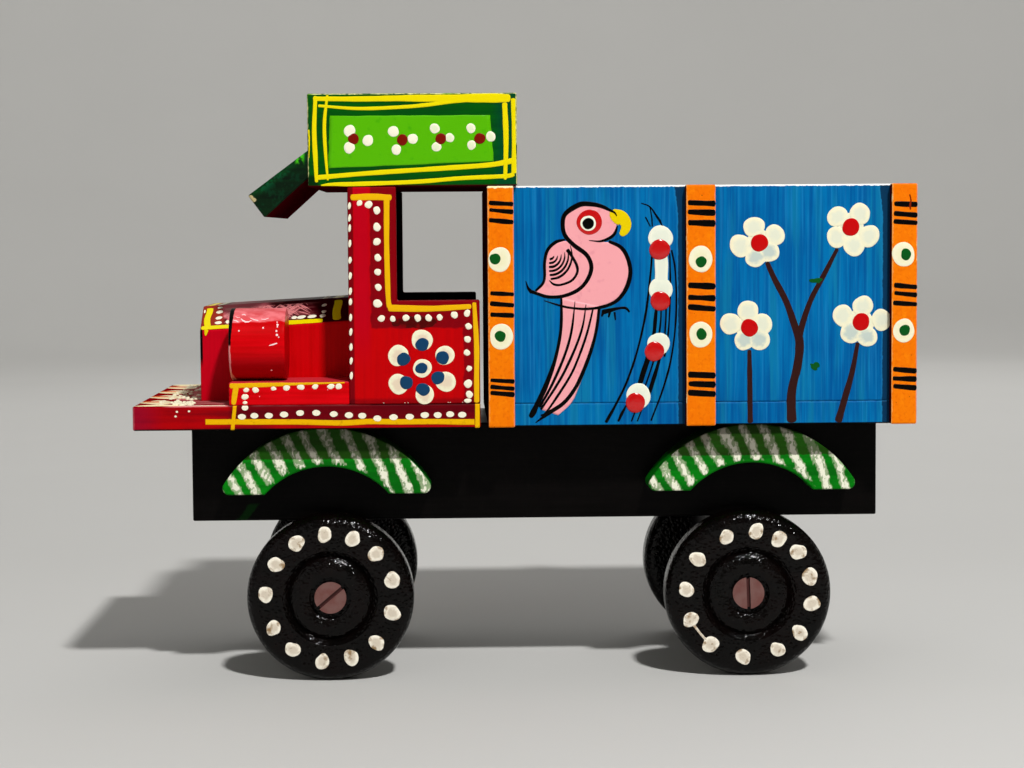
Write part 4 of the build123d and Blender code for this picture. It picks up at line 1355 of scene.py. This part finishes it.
def paint_battens():
    """Three groups of three black bars on each batten, cream rings with green spots between them, and a drip
    of brown on the rear battens."""
    bars = Coat("batten_bars", black_pot(), seed=51)
    rings = Coat("batten_rings", pot("ring_paint", paints().cream, (0.88, 0.86, 0.62), share=0.2, hollow=0.3), seed=52)
    spots = Coat("batten_spots", pot("green_spot_paint", paints().eye_green, (0.0, 0.2, 0.06), share=0.3), seed=53)
    stains = Coat("batten_stains", pot("stain_paint", (0.5, 0.12, 0.0), (0.3, 0.06, 0.0), share=0.5), seed=54)
    film = brushes().film / MM
    # Columns: the bars' width and each one's height; then each ring's height, place behind the front edge and
    # radius, and its spot's place from its middle
    marks = {
        "front": (
            0.98, (104.6, 103.0, 100.8, 85.1, 82.8, 80.5, 66.2, 64.7, 63.4),
            ((92.5, 2.65, 2.5, -0.95, 0.15), (75.8, 2.95, 2.6, -0.25, 0.1)),
        ),
        "middle": (
            1.3, (104.4, 102.4, 100.1, 86.5, 83.9, 81.7, 67.1, 65.1, 63.1),
            ((92.3, 3.2, 2.65, 0.1, -0.6), (75.9, 3.2, 2.6, 0.15, 0.1)),
        ),
        "rear": (
            1.1, (103.9, 101.7, 100.0, 86.1, 84.4, 82.3, 67.8, 65.9, 64.1),
            ((93.0, 2.6, 2.5, 0.55, 0.0), (76.4, 2.75, 2.4, 0.2, 0.1)),
        ),
    }
    for place in PLACES:
        width, heights, eyes = marks[place]
        for side in SIDES:
            node = f"batten_{place}_{side}"
            wall = side_face(node, side)
            (front, _, _), (rear, _, _) = span(node)
            middle = (front + rear) / 2
            for v in heights:
                start = front + 0.35 + abs(bars.chance.normal(0, 0.15))
                drop = bars.chance.uniform(0.1, 0.3)
                bar = [(start, v + drop, width * 0.9), (middle, v, width), (rear - 0.05, v - drop, width * 1.05)]
                bars.stroke(wall, bar, waver=0.1)
            for v, along, size, spot_u, spot_v in eyes:
                rings.dab(wall, front + along, v, size, size * 1.06, rise=film * 2, uneven=0.03, points=36)
                spots.dab(wall, front + along + spot_u, v + spot_v, 1.15, 1.25, lift=film * 2)
    # Columns: place behind the front edge, height, width
    stain = [(3.9, 106.0, 0.25), (4.2, 104.8, 0.3), (4.0, 103.7, 0.45), (4.1, 102.7, 0.3)]
    for side in SIDES:
        node = f"batten_rear_{side}"
        (front, _, _), _ = span(node)
        line = [(front + u, v, size) for u, v, size in stain]
        stains.stroke(side_face(node, side), line, rise=0.02, lift=0.05)
    for coat in (bars, rings, spots, stains):
        coat.make()


def paint_parrot():
    """A folk parrot that looks back over the truck's load, and beside it a hanging string of beads."""
    p = paints()
    pink = pot("pink_paint", p.pink, mixed(p.pink, (0.84, 0.5, 0.55), 0.4), share=0.45)
    beak = pot("beak_paint", p.beak, mixed(p.beak, (0.6, 0.45, 0.0), 0.4))
    bead = pot("bead_paint", p.bead_red, mixed(p.bead_red, p.maroon, 0.3), gloss=0.15, shine=0.5)
    bead_white = pot("bead_white_paint", (0.93, 0.94, 0.86), (0.82, 0.86, 0.8), share=0.3, hollow=0.3)
    coats = {
        "pink": Coat("parrot_body", pink, seed=61),
        "ink": Coat("parrot_outline", black_pot(), seed=62),
        "beak": Coat("parrot_beak", beak, seed=63),
        "reds": Coat("bead_reds", bead, seed=64),
        "creams": Coat("bead_creams", bead_white, seed=65),
        "pupil": Coat("parrot_pupil", black_pot(), seed=66),
    }
    for side in SIDES:
        wall = side_face(f"cargo_side_{side}", side)
        draw_parrot(wall, **coats)
        draw_beads(wall, coats["ink"], coats["reds"], coats["creams"])
    for coat in coats.values():
        coat.make()


def draw_parrot(wall, pink, ink, beak, reds, creams, pupil):
    """The parrot: filled head, trunk and tail, then its outlines, feathers, foot, beak and eye. Columns of
    its lines: place along the truck, height, width."""
    film = brushes().film / MM
    head = [
        (18.8, 102.7), (16.5, 103.8), (13.9, 104.3), (11.5, 104.0), (9.0, 102.4), (8.3, 100.0), (8.7, 97.6),
        (10.6, 95.5), (13.5, 93.8), (16.4, 95.6), (18.6, 97.2), (19.7, 98.2), (19.9, 100.2), (19.6, 101.8),
    ]
    trunk = [
        (10.6, 96.0), (13.5, 95.6), (18.0, 96.1), (20.7, 94.9), (22.1, 92.8), (22.7, 90.0), (22.3, 87.3),
        (21.2, 85.1), (19.6, 83.4), (17.1, 82.3), (13.5, 81.8), (10.3, 81.9), (7.6, 83.9), (4.6, 84.3), (2.2, 85.4),
        (4.1, 87.6), (4.4, 91.5), (5.1, 94.2), (6.9, 96.0), (8.8, 96.4),
    ]
    pink.patch(wall, smooth_loop(head))
    pink.patch(wall, smooth_loop(trunk))
    tail_front = [(7.9, 84.1), (7.8, 79.2), (7.4, 75.2), (6.4, 70.9), (5.0, 66.5), (3.7, 62.6), (3.5, 59.6)]
    tail_rear = [(16.1, 82.2), (15.6, 77.4), (14.6, 73.0), (13.2, 68.6), (11.7, 64.9), (10.0, 61.2), (7.0, 58.4)]
    pink.between(wall, tail_front, tail_rear)

    outlines = [
        [(19.3, 102.6, 0.5), (16.6, 103.9, 0.9), (13.9, 104.4, 1.05), (11.7, 104.2, 1.1), (8.8, 102.3, 1.0),
         (8.2, 100.0, 0.95), (8.7, 97.6, 0.95), (10.6, 95.5, 0.95), (13.4, 93.3, 0.9), (14.4, 90.7, 0.9),
         (13.5, 87.9, 0.9), (11.4, 85.7, 0.85), (8.1, 84.4, 0.75), (4.9, 84.3, 0.7), (2.6, 85.0, 0.7),
         (1.3, 85.5, 0.9)],
        [(1.5, 85.2, 0.9), (0.6, 86.2, 0.55), (0.1, 87.8, 0.15)],
        [(8.7, 96.7, 0.4), (6.7, 96.2, 0.75), (4.9, 94.5, 0.75), (4.2, 91.8, 0.65), (4.2, 88.9, 0.6),
         (3.8, 87.2, 0.6), (2.2, 85.6, 0.5)],
        [(9.1, 94.6, 0.9), (10.1, 93.2, 0.6), (11.2, 91.1, 0.65), (11.3, 89.5, 0.6), (10.1, 87.8, 0.55),
         (7.8, 86.9, 0.5), (6.2, 87.0, 0.5), (5.2, 87.9, 0.15)],
        [(18.2, 96.3, 0.6), (20.8, 95.0, 0.85), (22.2, 92.9, 0.9), (22.9, 90.0, 0.95), (22.5, 87.3, 0.95),
         (21.4, 85.0, 0.85), (19.7, 83.2, 0.75), (17.1, 82.1, 0.7), (13.5, 81.6, 0.6), (10.3, 81.8, 0.5),
         (7.8, 82.3, 0.45), (4.0, 83.5, 0.15)],
        [(13.9, 96.5, 0.15), (16.4, 96.3, 0.45), (18.6, 97.1, 0.7), (19.6, 98.1, 0.7), (20.1, 99.6, 0.3)],
        [(7.8, 84.2, 0.5), (7.8, 79.2, 0.65), (7.4, 75.2, 0.7), (6.2, 70.0, 0.85), (4.2, 64.6, 1.1),
         (2.4, 60.9, 1.1), (1.5, 59.0, 1.4), (0.8, 58.0, 0.9)],
        [(16.1, 82.1, 0.6), (15.5, 77.4, 0.7), (14.4, 73.0, 0.75), (12.75, 68.5, 0.8), (10.8, 64.4, 0.85),
         (8.2, 61.1, 0.85), (4.9, 58.9, 0.85), (2.0, 56.8, 0.2)],
    ]
    ink.strokes(wall, outlines, lift=film)
    ribs = [
        [(10.8, 83.3, 0.15), (10.1, 77.4, 0.55), (9.0, 73.0, 0.6), (7.2, 68.4, 0.6), (5.2, 64.2, 0.6),
         (2.9, 60.2, 0.6)],
        [(13.2, 82.6, 0.15), (12.5, 78.1, 0.5), (11.1, 73.8, 0.55), (8.8, 68.7, 0.6), (6.6, 64.8, 0.6),
         (3.2, 59.7, 0.5)],
        [(14.7, 81.5, 0.4), (13.5, 76.7, 0.5), (12.0, 72.3, 0.55), (10.0, 67.6, 0.55), (7.2, 63.1, 0.55),
         (4.3, 59.0, 0.45), (3.2, 58.4, 0.4)],
    ]
    ink.strokes(wall, ribs, lift=film)
    for number in range(6):
        radius = 0.8 + 0.78 * number
        turns = np.radians(np.linspace(-105 + 3 * number, -12 + 7 * number, 6))
        widths = (0.45, 0.55, 0.5, 0.45, 0.35, 0.12)
        hook = [(5.5 + radius * math.cos(a), 93.4 + 1.12 * radius * math.sin(a), w) for a, w in zip(turns, widths)]
        ink.stroke(wall, hook, lift=film)
    foot = [
        [(16.6, 80.8, 1.1), (18.2, 81.2, 1.0), (20.4, 81.7, 0.6), (21.9, 81.7, 0.6), (22.7, 80.8, 0.4)],
        [(17.0, 81.0, 0.7), (16.6, 79.9, 0.4)],
        [(18.4, 81.0, 0.6), (18.1, 79.7, 0.4)],
        [(19.4, 80.9, 0.55), (19.6, 79.1, 0.3)],
    ]
    ink.strokes(wall, foot)

    bill = [
        (18.9, 100.8, 3.9), (20.0, 101.5, 3.7), (21.3, 101.1, 3.0), (22.0, 99.8, 2.4), (21.6, 98.4, 1.9),
        (20.7, 97.6, 1.0),
    ]
    beak.stroke(wall, bill, lift=film, rise=0.05)
    ink.stroke(wall, [(18.2, 103.2, 0.5), (19.5, 102.5, 0.45), (20.0, 101.7, 0.2)], lift=film + 0.06)
    reds.dab(wall, 14.0, 100.45, 2.72, 2.78, lift=film, rise=0.05, points=40, uneven=0.02)
    creams.dab(wall, 13.75, 100.2, 1.66, 1.7, lift=film + 0.05, rise=0.03, points=36, uneven=0.03)
    pupil.dab(wall, 13.75, 100.15, 1.22, 1.26, lift=film + 0.08, rise=0.05, points=28, uneven=0.03)


def draw_beads(wall, ink, reds, creams):
    """A string of four white drops, the upper two joined, each with a red bead under it, on thin curved threads."""
    # Columns: place along the truck, height, radius
    drops = [(29.5, 97.0, 2.62), (29.5, 85.7, 2.55), (29.0, 73.8, 2.45), (24.6, 62.5, 2.68)]
    beads = [(29.3, 94.4, 2.25), (29.4, 83.2, 2.15), (28.1, 72.2, 2.15), (23.9, 61.0, 2.15)]
    threads = [
        [(27.6, 93.0, 0.4), (27.3, 89.2, 0.5), (26.3, 81.0, 0.5), (24.5, 72.9, 0.5), (22.2, 66.0, 0.5),
         (19.8, 61.0, 0.6), (17.4, 56.7, 0.75)],
        [(31.9, 94.3, 0.4), (32.7, 89.7, 0.42), (32.9, 81.0, 0.42), (32.0, 72.0, 0.42), (30.2, 64.7, 0.45),
         (27.3, 57.0, 0.4)],
        [(31.5, 93.6, 0.35), (31.6, 88.0, 0.4), (31.5, 82.0, 0.4), (31.1, 76.0, 0.4), (30.3, 71.0, 0.42)],
        [(28.6, 82.0, 0.7), (28.3, 79.0, 0.9), (27.9, 75.5, 0.8), (26.6, 70.5, 1.1), (25.4, 66.8, 1.25),
         (24.6, 64.0, 1.1)],
        [(29.6, 82.0, 0.35), (29.5, 79.0, 0.42), (29.0, 75.0, 0.4), (28.1, 70.8, 0.42), (26.9, 67.0, 0.42),
         (26.0, 64.5, 0.35)],
        [(30.7, 82.5, 0.35), (30.6, 79.0, 0.42), (30.2, 74.5, 0.42), (29.2, 70.5, 0.55), (28.1, 66.8, 0.9),
         (26.9, 63.0, 0.9), (26.2, 61.0, 0.5)],
        [(22.0, 60.6, 0.4), (20.9, 58.6, 0.7), (20.1, 56.9, 0.5)],
        [(23.9, 59.2, 0.3), (23.0, 56.9, 0.4)],
        [(25.5, 60.0, 0.3), (24.3, 56.9, 0.35)],
        [(25.3, 104.5, 0.25), (27.2, 103.7, 0.35), (28.8, 101.4, 0.4), (30.0, 99.4, 0.3)],
        [(27.2, 103.6, 0.2), (27.6, 101.4, 0.3), (27.7, 99.4, 0.25)],
        [(26.2, 101.5, 0.35), (26.8, 100.4, 0.3), (27.3, 99.4, 0.2)],
        [(28.3, 102.3, 0.15), (29.3, 100.9, 0.4), (29.9, 99.4, 0.25)],
    ]
    ink.strokes(wall, threads, waver=0.08)
    creams.stroke(wall, [(29.5, 95.0, 2.9), (29.7, 90.0, 2.75), (29.5, 86.0, 2.9)], lift=0.03)
    for (u, v, size), (bead_u, bead_v, bead) in zip(drops, beads):
        creams.dab(wall, u, v, size, size * 1.03, lift=0.05, rise=0.07, points=36, uneven=0.03)
        reds.dab(wall, bead_u, bead_v, bead, bead, lift=0.1, rise=0.32, points=36, uneven=0.02)


def paint_flowers():
    """Four cream flowers with red hearts on bark-brown stems with two leaf dabs, on the rear panels."""
    p = paints()
    film = brushes().film / MM
    petals = Coat("flower_petals", pot("flower_paint", p.cream, (0.82, 0.86, 0.81), share=0.35, hollow=0.5), seed=71)
    thin_cream = pot("thin_flower_paint", p.cream, (0.66, 0.75, 0.76), share=0.3, hollow=0.7)
    thin_petals = Coat("flower_thin_petals", thin_cream, seed=75)
    hearts = Coat("flower_hearts", heart_pot(), seed=72)
    stems = Coat("flower_stems", pot("bark_paint", p.bark, (0.1, 0.04, 0.04)), seed=73)
    leaves = Coat("flower_leaves", pot("leaf_dab_paint", (0.02, 0.32, 0.1), (0.01, 0.24, 0.2)), seed=74)
    # Columns: heart's place; each petal's place from it
    flowers = [
        ((51.1, 95.7), [(-1.2, 3.5), (3.4, 1.7), (-4.2, -0.6), (-0.8, -3.1), (2.0, -1.9)]),
        ((71.1, 99.0), [(-2.9, 2.3), (2.0, 2.9), (4.0, -2.0), (0.7, -4.0), (-3.1, -2.2)]),
        ((48.9, 77.2), [(-0.3, 3.6), (2.9, 0.8), (2.1, -2.6), (-1.1, -2.7), (-4.1, 0.9)]),
        ((73.4, 78.3), [(0.4, 3.5), (-4.0, 1.4), (4.5, 0.4), (1.3, -3.2), (-2.2, -2.2)]),
    ]
    # Columns: place behind the middle batten, height over the load box's foot, width
    stem_shapes = [
        [(7.8, 0.3, 1.2), (7.7, 8.0, 1.15), (7.6, 16.4, 0.9)],
        [(16.9, 0.3, 2.1), (16.9, 7.0, 1.9), (18.2, 13.0, 1.9), (18.6, 18.0, 1.8), (17.4, 22.0, 1.6),
         (15.6, 27.0, 1.4), (13.0, 32.0, 1.2), (11.4, 35.6, 1.0)],
        [(18.2, 16.0, 1.4), (19.0, 21.0, 1.3), (21.0, 27.0, 1.2), (23.6, 32.0, 1.1), (26.9, 38.4, 0.8)],
        [(27.1, 0.3, 1.7), (28.6, 5.6, 1.4), (30.2, 11.4, 1.2), (31.4, 17.8, 0.9)],
    ]
    for side in SIDES:
        wall = side_face(f"cargo_side_{side}", side)
        origin = np.array([span(f"batten_middle_{side}")[1][0], span("cargo_floor")[0][2]])
        for number, ((u, v), around) in enumerate(flowers):
            for along, up in around:
                size = petals.chance.uniform(2.15, 2.4)
                coat = thin_petals if up < -1 and number != 1 else petals
                turn = math.atan2(up, along)
                coat.dab(wall, u + along, v + up, size, size * 1.05, turn, film, rise=0.06, points=30, uneven=0.04)
            petals.dab(wall, u, v, 2.9, lift=0.01, rise=film, points=32)
            hearts.dab(wall, u, v, 1.88, 1.92, lift=0.09, points=32, uneven=0.03)
        for points in stem_shapes:
            stems.stroke(wall, [(origin[0] + u, origin[1] + v, w) for u, v, w in points], rise=0.05)
        for u, v, turn in ((22.3, 31.4, -0.1), (22.0, 12.7, -0.4)):
            leaves.dab(wall, origin[0] + u, origin[1] + v, 1.2, 0.7, turn, uneven=0.3, rise=0.04, lift=0.03)
    for coat in (petals, thin_petals, hearts, stems, leaves):
        coat.make()


def paint_tailboard():
    """On the tailboard, a large flower between two small ones, in a frame of lemon lines and white dots."""
    (_, left, low), (rear, right, top) = span("tailboard")
    end = end_face(rear, 1)
    lines = Coat("tail_lines", lemon_pot(), seed=81)
    dots = Coat("tail_dots", white_pot(), seed=82)
    petals = Coat("tail_petals", thin_cream_pot(), seed=83)
    hearts = Coat("tail_hearts", heart_pot(), seed=84)
    inset = 2.6
    foot, head = low + inset, top - inset
    corners = [(left + inset, foot), (right - inset, foot), (right - inset, head), (left + inset, head)]
    half = (low + top) / 2
    for a, b in zip(corners, corners[1:] + corners[:1]):
        middle = ((a[0] + b[0]) / 2 + 0.2, (a[1] + b[1]) / 2 + 0.2)
        lines.stroke(end, [a, middle, b], 1.5)
        a, b = np.array(a) * (0.93, 1), np.array(b) * (0.93, 1)
        toward = np.array([0, half])
        pull = 0.075
        dots.row(end, a + (toward - a) * pull, b + (toward - b) * pull, 15 if a[1] == b[1] else 12, 0.85, 0.15)
    # Columns: flower's place from the middle, its petals' distance from its heart, their size to it, their count
    for u, reach, share, count in ((0, 7.0, 0.42, 8), (-16.5, 3.8, 0.56, 5), (16.5, 3.8, 0.56, 5)):
        size = reach * share
        for number in range(count):
            angle = math.pi / 2 + number * 2 * math.pi / count
            along, up = reach * math.cos(angle), reach * math.sin(angle)
            petals.dab(end, u + along, half + up, size, size * 0.86, angle, lift=0.02, rise=0.06, points=30)
        petals.dab(end, u, half, reach * 0.75, lift=0.02, rise=0.06, points=30)
        hearts.dab(end, u, half, reach * 0.42, lift=0.08, points=36)
    for coat in (lines, dots, petals, hearts):
        coat.make()


def paint_wheels():
    """Thirteen cream dots round each wheel's face, on an empty named for the wheel, and a drip that joins two of
    them on the rear wheels."""
    size = brushes().wheel_dot / MM
    ring = brushes().wheel_ring / MM
    # Each dot's place round the wheel, in degrees
    turns = {
        "front": (120.5, 94.3, 68.8, 43.9, 16.0, -13.7, -44.5, -71.2, -97.7, -126.7, -153.0, 175.7, 147.0),
        "rear": (111.5, 83.6, 61.5, 40.4, 15.4, -9.5, -38.0, -63.0, -95.4, -127.5, -156.7, 175.4, 145.4),
    }
    # Columns: place along and up from the wheel's middle, width
    drip = [(-12.4, -6.6, 0.6), (-10.9, -8.6, 0.5), (-9.4, -10.3, 0.6)]
    for number, (axle, side) in enumerate(product(AXLES, SIDES)):
        node = f"wheel_{axle}_{side}"
        (front, left, low), (rear, right, high) = span(node)
        sign = SIDES[side]
        plane = right if sign > 0 else left
        face = Face(((front + rear) / 2, plane, (low + high) / 2), (1, 0, 0), (0, 0, 1), (0, sign, 0))
        dots = Coat(f"wheel_dots_{axle}_{side}", wheel_pot(), 90 + number, node)
        for turn in turns[axle]:
            angle = math.radians(turn)
            radius = ring + dots.chance.normal(0, 0.15)
            wide = size * dots.chance.uniform(0.93, 1.07)
            tall = wide * dots.chance.uniform(0.92, 1.02)
            dots.dab(face, radius * math.cos(angle), radius * math.sin(angle), wide, tall, angle, uneven=0.08)
        if axle == "rear":
            dots.stroke(face, drip)
        dots.make()


# Studio


def light(name, place, size, power, aim=(0, 0, 0.06)):
    """A square soft box that faces a point: the truck's middle, unless another is given."""
    lamp = bpy.data.lights.new(name, "AREA")
    lamp.size = size
    lamp.energy = power
    made = bpy.data.objects.new(name, lamp)
    made.location = place
    way = Matrix.Translation(aim).translation - made.location
    made.rotation_euler = way.to_track_quat("-Z", "Y").to_euler()
    made.visible_camera = False
    bpy.context.scene.collection.objects.link(made)


def make_floor():
    """A round floor that curves up into a backdrop: a profile of a straight run, a quarter circle and a
    straight wall, carried round the upright axis."""
    radius = studio().floor_radius
    wall = studio().wall_height
    bend = radius * 0.45
    turn = np.linspace(0, np.pi / 2, 16)
    out = np.concatenate([np.linspace(0.02, radius, 8), radius + bend * np.sin(turn[1:]), [radius + bend]])
    up = np.concatenate([np.zeros(8), bend * (1 - np.cos(turn[1:])), [wall]])
    angle = np.linspace(0, 2 * np.pi, 96, endpoint=False)
    rings = np.stack([
        np.multiply.outer(out, np.cos(angle)), np.multiply.outer(out, np.sin(angle)),
        np.repeat(up[:, None], len(angle), axis=1),
    ], axis=-1)
    size = len(angle)
    here = np.arange(size)
    after = (here + 1) % size
    base = (1 + size * np.arange(len(out) - 1))[:, None]
    quads = np.stack([base + here, base + size + here, base + size + after, base + after], axis=-1)
    fan = np.stack([np.zeros(size, int), 1 + here, 1 + after], axis=-1)
    finish = Finish("studio_floor", 0.7)
    finish.paint(finish.blend(finish.noise(120.0, 2.0), studio_tone(0.98), studio_tone(1.0)))
    points = np.concatenate([np.zeros((1, 3)), rings.reshape(-1, 3)])
    floor = new_mesh("studio_floor", points, quads.reshape(-1, 4).tolist() + fan.tolist(), finish.material)


def studio_tone(share):
    return tuple(v * share for v in paints().floor)


def make_camera():
    """The camera's axes: forward from its turn and dip, right level, then both sides rolled."""
    s = studio()
    forward = np.array([
        math.sin(s.turn) * math.cos(s.dip), math.cos(s.turn) * math.cos(s.dip), -math.sin(s.dip),
    ])
    right = np.array([math.cos(s.turn), -math.sin(s.turn), 0])
    up = np.cross(right, forward)
    rolled_right = math.cos(s.roll) * right + math.sin(s.roll) * up
    rolled_up = math.cos(s.roll) * up - math.sin(s.roll) * right
    camera = bpy.data.cameras.new("camera")
    camera.lens = s.lens
    camera.sensor_width = 36
    camera.clip_start = 0.01
    made = bpy.data.objects.new("camera", camera)
    axes = Matrix(np.stack([rolled_right, rolled_up, -forward], axis=1).tolist()).to_4x4()
    made.matrix_world = Matrix.Translation(s.eye) @ axes
    bpy.context.scene.collection.objects.link(made)
    bpy.context.scene.camera = made


def make_light():
    """Soft boxes: a small key high behind the camera and to its right, a wide fill, one above and one behind
    the truck, and one that lights the backdrop."""
    scene = bpy.context.scene
    world = bpy.data.worlds.new("studio")
    scene.world = world
    world.use_nodes = True
    world.node_tree.nodes["Background"].inputs["Color"].default_value = (1, 1, 1, 1)
    world.node_tree.nodes["Background"].inputs["Strength"].default_value = 0.1
    light("key", (0.272, -0.8, 0.98), 0.07, 14.6)
    light("fill", (-0.7, -0.9, 0.45), 0.8, 0.9)
    light("top", (0.0, 0.35, 1.3), 0.9, 1.5)
    light("back", (0.4, 1.0, 0.7), 0.8, 1.5)
    light("wall", (0.0, 0.7, 1.2), 1.2, 7.0, aim=(0.0, 1.9, 0.45))
    scene.view_settings.view_transform = "Standard"


# Operators


class TRUCK_OT_ground_cab(Operator):
    """Gives the cab, base board, running boards, hood and lamps their red enamel"""

    bl_idname = "truck.ground_cab"
    bl_label = "Ground Cab"

    def execute(self, context):
        for side in SIDES:
            ground_cab_side(side)
        ground_cab_front()
        ground_base_board()
        ground_running_boards()
        ground_hood()
        ground_lamps()
        return {"FINISHED"}


class TRUCK_OT_ground_roof(Operator):
    """Gives the roof box and the visor their green enamel"""

    bl_idname = "truck.ground_roof"
    bl_label = "Ground Roof"

    def execute(self, context):
        ground_roof()
        ground_visor()
        return {"FINISHED"}


class TRUCK_OT_ground_load_box(Operator):
    """Gives the load box its blue and its battens their orange enamel"""

    bl_idname = "truck.ground_load_box"
    bl_label = "Ground Load Box"

    def execute(self, context):
        ground_load_box()
        ground_battens()
        return {"FINISHED"}


class TRUCK_OT_ground_chassis(Operator):
    """Gives the chassis its black and the fenders their green enamel"""

    bl_idname = "truck.ground_chassis"
    bl_label = "Ground Chassis"

    def execute(self, context):
        ground_chassis()
        ground_fenders()
        return {"FINISHED"}


class TRUCK_OT_ground_wheels(Operator):
    """Gives the wheels their granular black and the screws their steel"""

    bl_idname = "truck.ground_wheels"
    bl_label = "Ground Wheels"

    def execute(self, context):
        ground_wheels()
        return {"FINISHED"}


class TRUCK_OT_paint_cab(Operator):
    """Paints the lines, dots and flowers of the cab"""

    bl_idname = "truck.paint_cab"
    bl_label = "Paint Cab"

    def execute(self, context):
        paint_cab()
        paint_cab_front()
        return {"FINISHED"}


class TRUCK_OT_paint_roof(Operator):
    """Paints the panel, lines and flowers of the roof box"""

    bl_idname = "truck.paint_roof"
    bl_label = "Paint Roof"

    def execute(self, context):
        paint_roof()
        return {"FINISHED"}


class TRUCK_OT_paint_nose(Operator):
    """Paints the hood, the lamps and the bumper"""

    bl_idname = "truck.paint_nose"
    bl_label = "Paint Nose"

    def execute(self, context):
        paint_hood()
        paint_bumper()
        paint_lamps()
        return {"FINISHED"}


class TRUCK_OT_paint_battens(Operator):
    """Paints the bars and rings of the battens"""

    bl_idname = "truck.paint_battens"
    bl_label = "Paint Battens"

    def execute(self, context):
        paint_battens()
        return {"FINISHED"}


class TRUCK_OT_paint_parrot(Operator):
    """Paints the parrot and the beads of the front panels"""

    bl_idname = "truck.paint_parrot"
    bl_label = "Paint Parrot"

    def execute(self, context):
        paint_parrot()
        return {"FINISHED"}


class TRUCK_OT_paint_flowers(Operator):
    """Paints the flowers of the rear panels and the tailboard"""

    bl_idname = "truck.paint_flowers"
    bl_label = "Paint Flowers"

    def execute(self, context):
        paint_flowers()
        paint_tailboard()
        return {"FINISHED"}


class TRUCK_OT_paint_wheels(Operator):
    """Paints the circle of dots on each wheel"""

    bl_idname = "truck.paint_wheels"
    bl_label = "Paint Wheels"

    def execute(self, context):
        paint_wheels()
        return {"FINISHED"}


class TRUCK_OT_make_studio(Operator):
    """Sets up the floor, the light and the camera"""

    bl_idname = "truck.make_studio"
    bl_label = "Make Studio"

    def execute(self, context):
        make_floor()
        make_light()
        make_camera()
        return {"FINISHED"}


STEPS = (
    TRUCK_OT_ground_cab,
    TRUCK_OT_ground_roof,
    TRUCK_OT_ground_load_box,
    TRUCK_OT_ground_chassis,
    TRUCK_OT_ground_wheels,
    TRUCK_OT_paint_cab,
    TRUCK_OT_paint_roof,
    TRUCK_OT_paint_nose,
    TRUCK_OT_paint_battens,
    TRUCK_OT_paint_parrot,
    TRUCK_OT_paint_flowers,
    TRUCK_OT_paint_wheels,
    TRUCK_OT_make_studio,
)


class TRUCK_PT_workshop(Panel):
    """The steps of the paintwork, in order"""

    bl_idname = "TRUCK_PT_workshop"
    bl_label = "Toy Truck"
    bl_space_type = "VIEW_3D"
    bl_region_type = "UI"
    bl_category = "Toy Truck"

    def draw(self, context):
        for step in STEPS:
            self.layout.operator(step.bl_idname)
        for group in (context.scene.truck_colours, context.scene.truck_brushes, context.scene.truck_studio):
            box = self.layout.box()
            for name in group.__annotations__:
                box.prop(group, name)


CLASSES = (PaintColours, BrushSizes, StudioSizes, *STEPS, TRUCK_PT_workshop)


def register():
    for made in CLASSES:
        bpy.utils.register_class(made)
    bpy.types.Scene.truck_colours = PointerProperty(type=PaintColours)
    bpy.types.Scene.truck_brushes = PointerProperty(type=BrushSizes)
    bpy.types.Scene.truck_studio = PointerProperty(type=StudioSizes)


def unregister():
    del bpy.types.Scene.truck_studio
    del bpy.types.Scene.truck_brushes
    del bpy.types.Scene.truck_colours
    for made in reversed(CLASSES):
        bpy.utils.unregister_class(made)


def main():
    register()
    for step in STEPS:
        family, name = step.bl_idname.split(".")
        getattr(getattr(bpy.ops, family), name)()


if __name__ == "__main__":
    main()
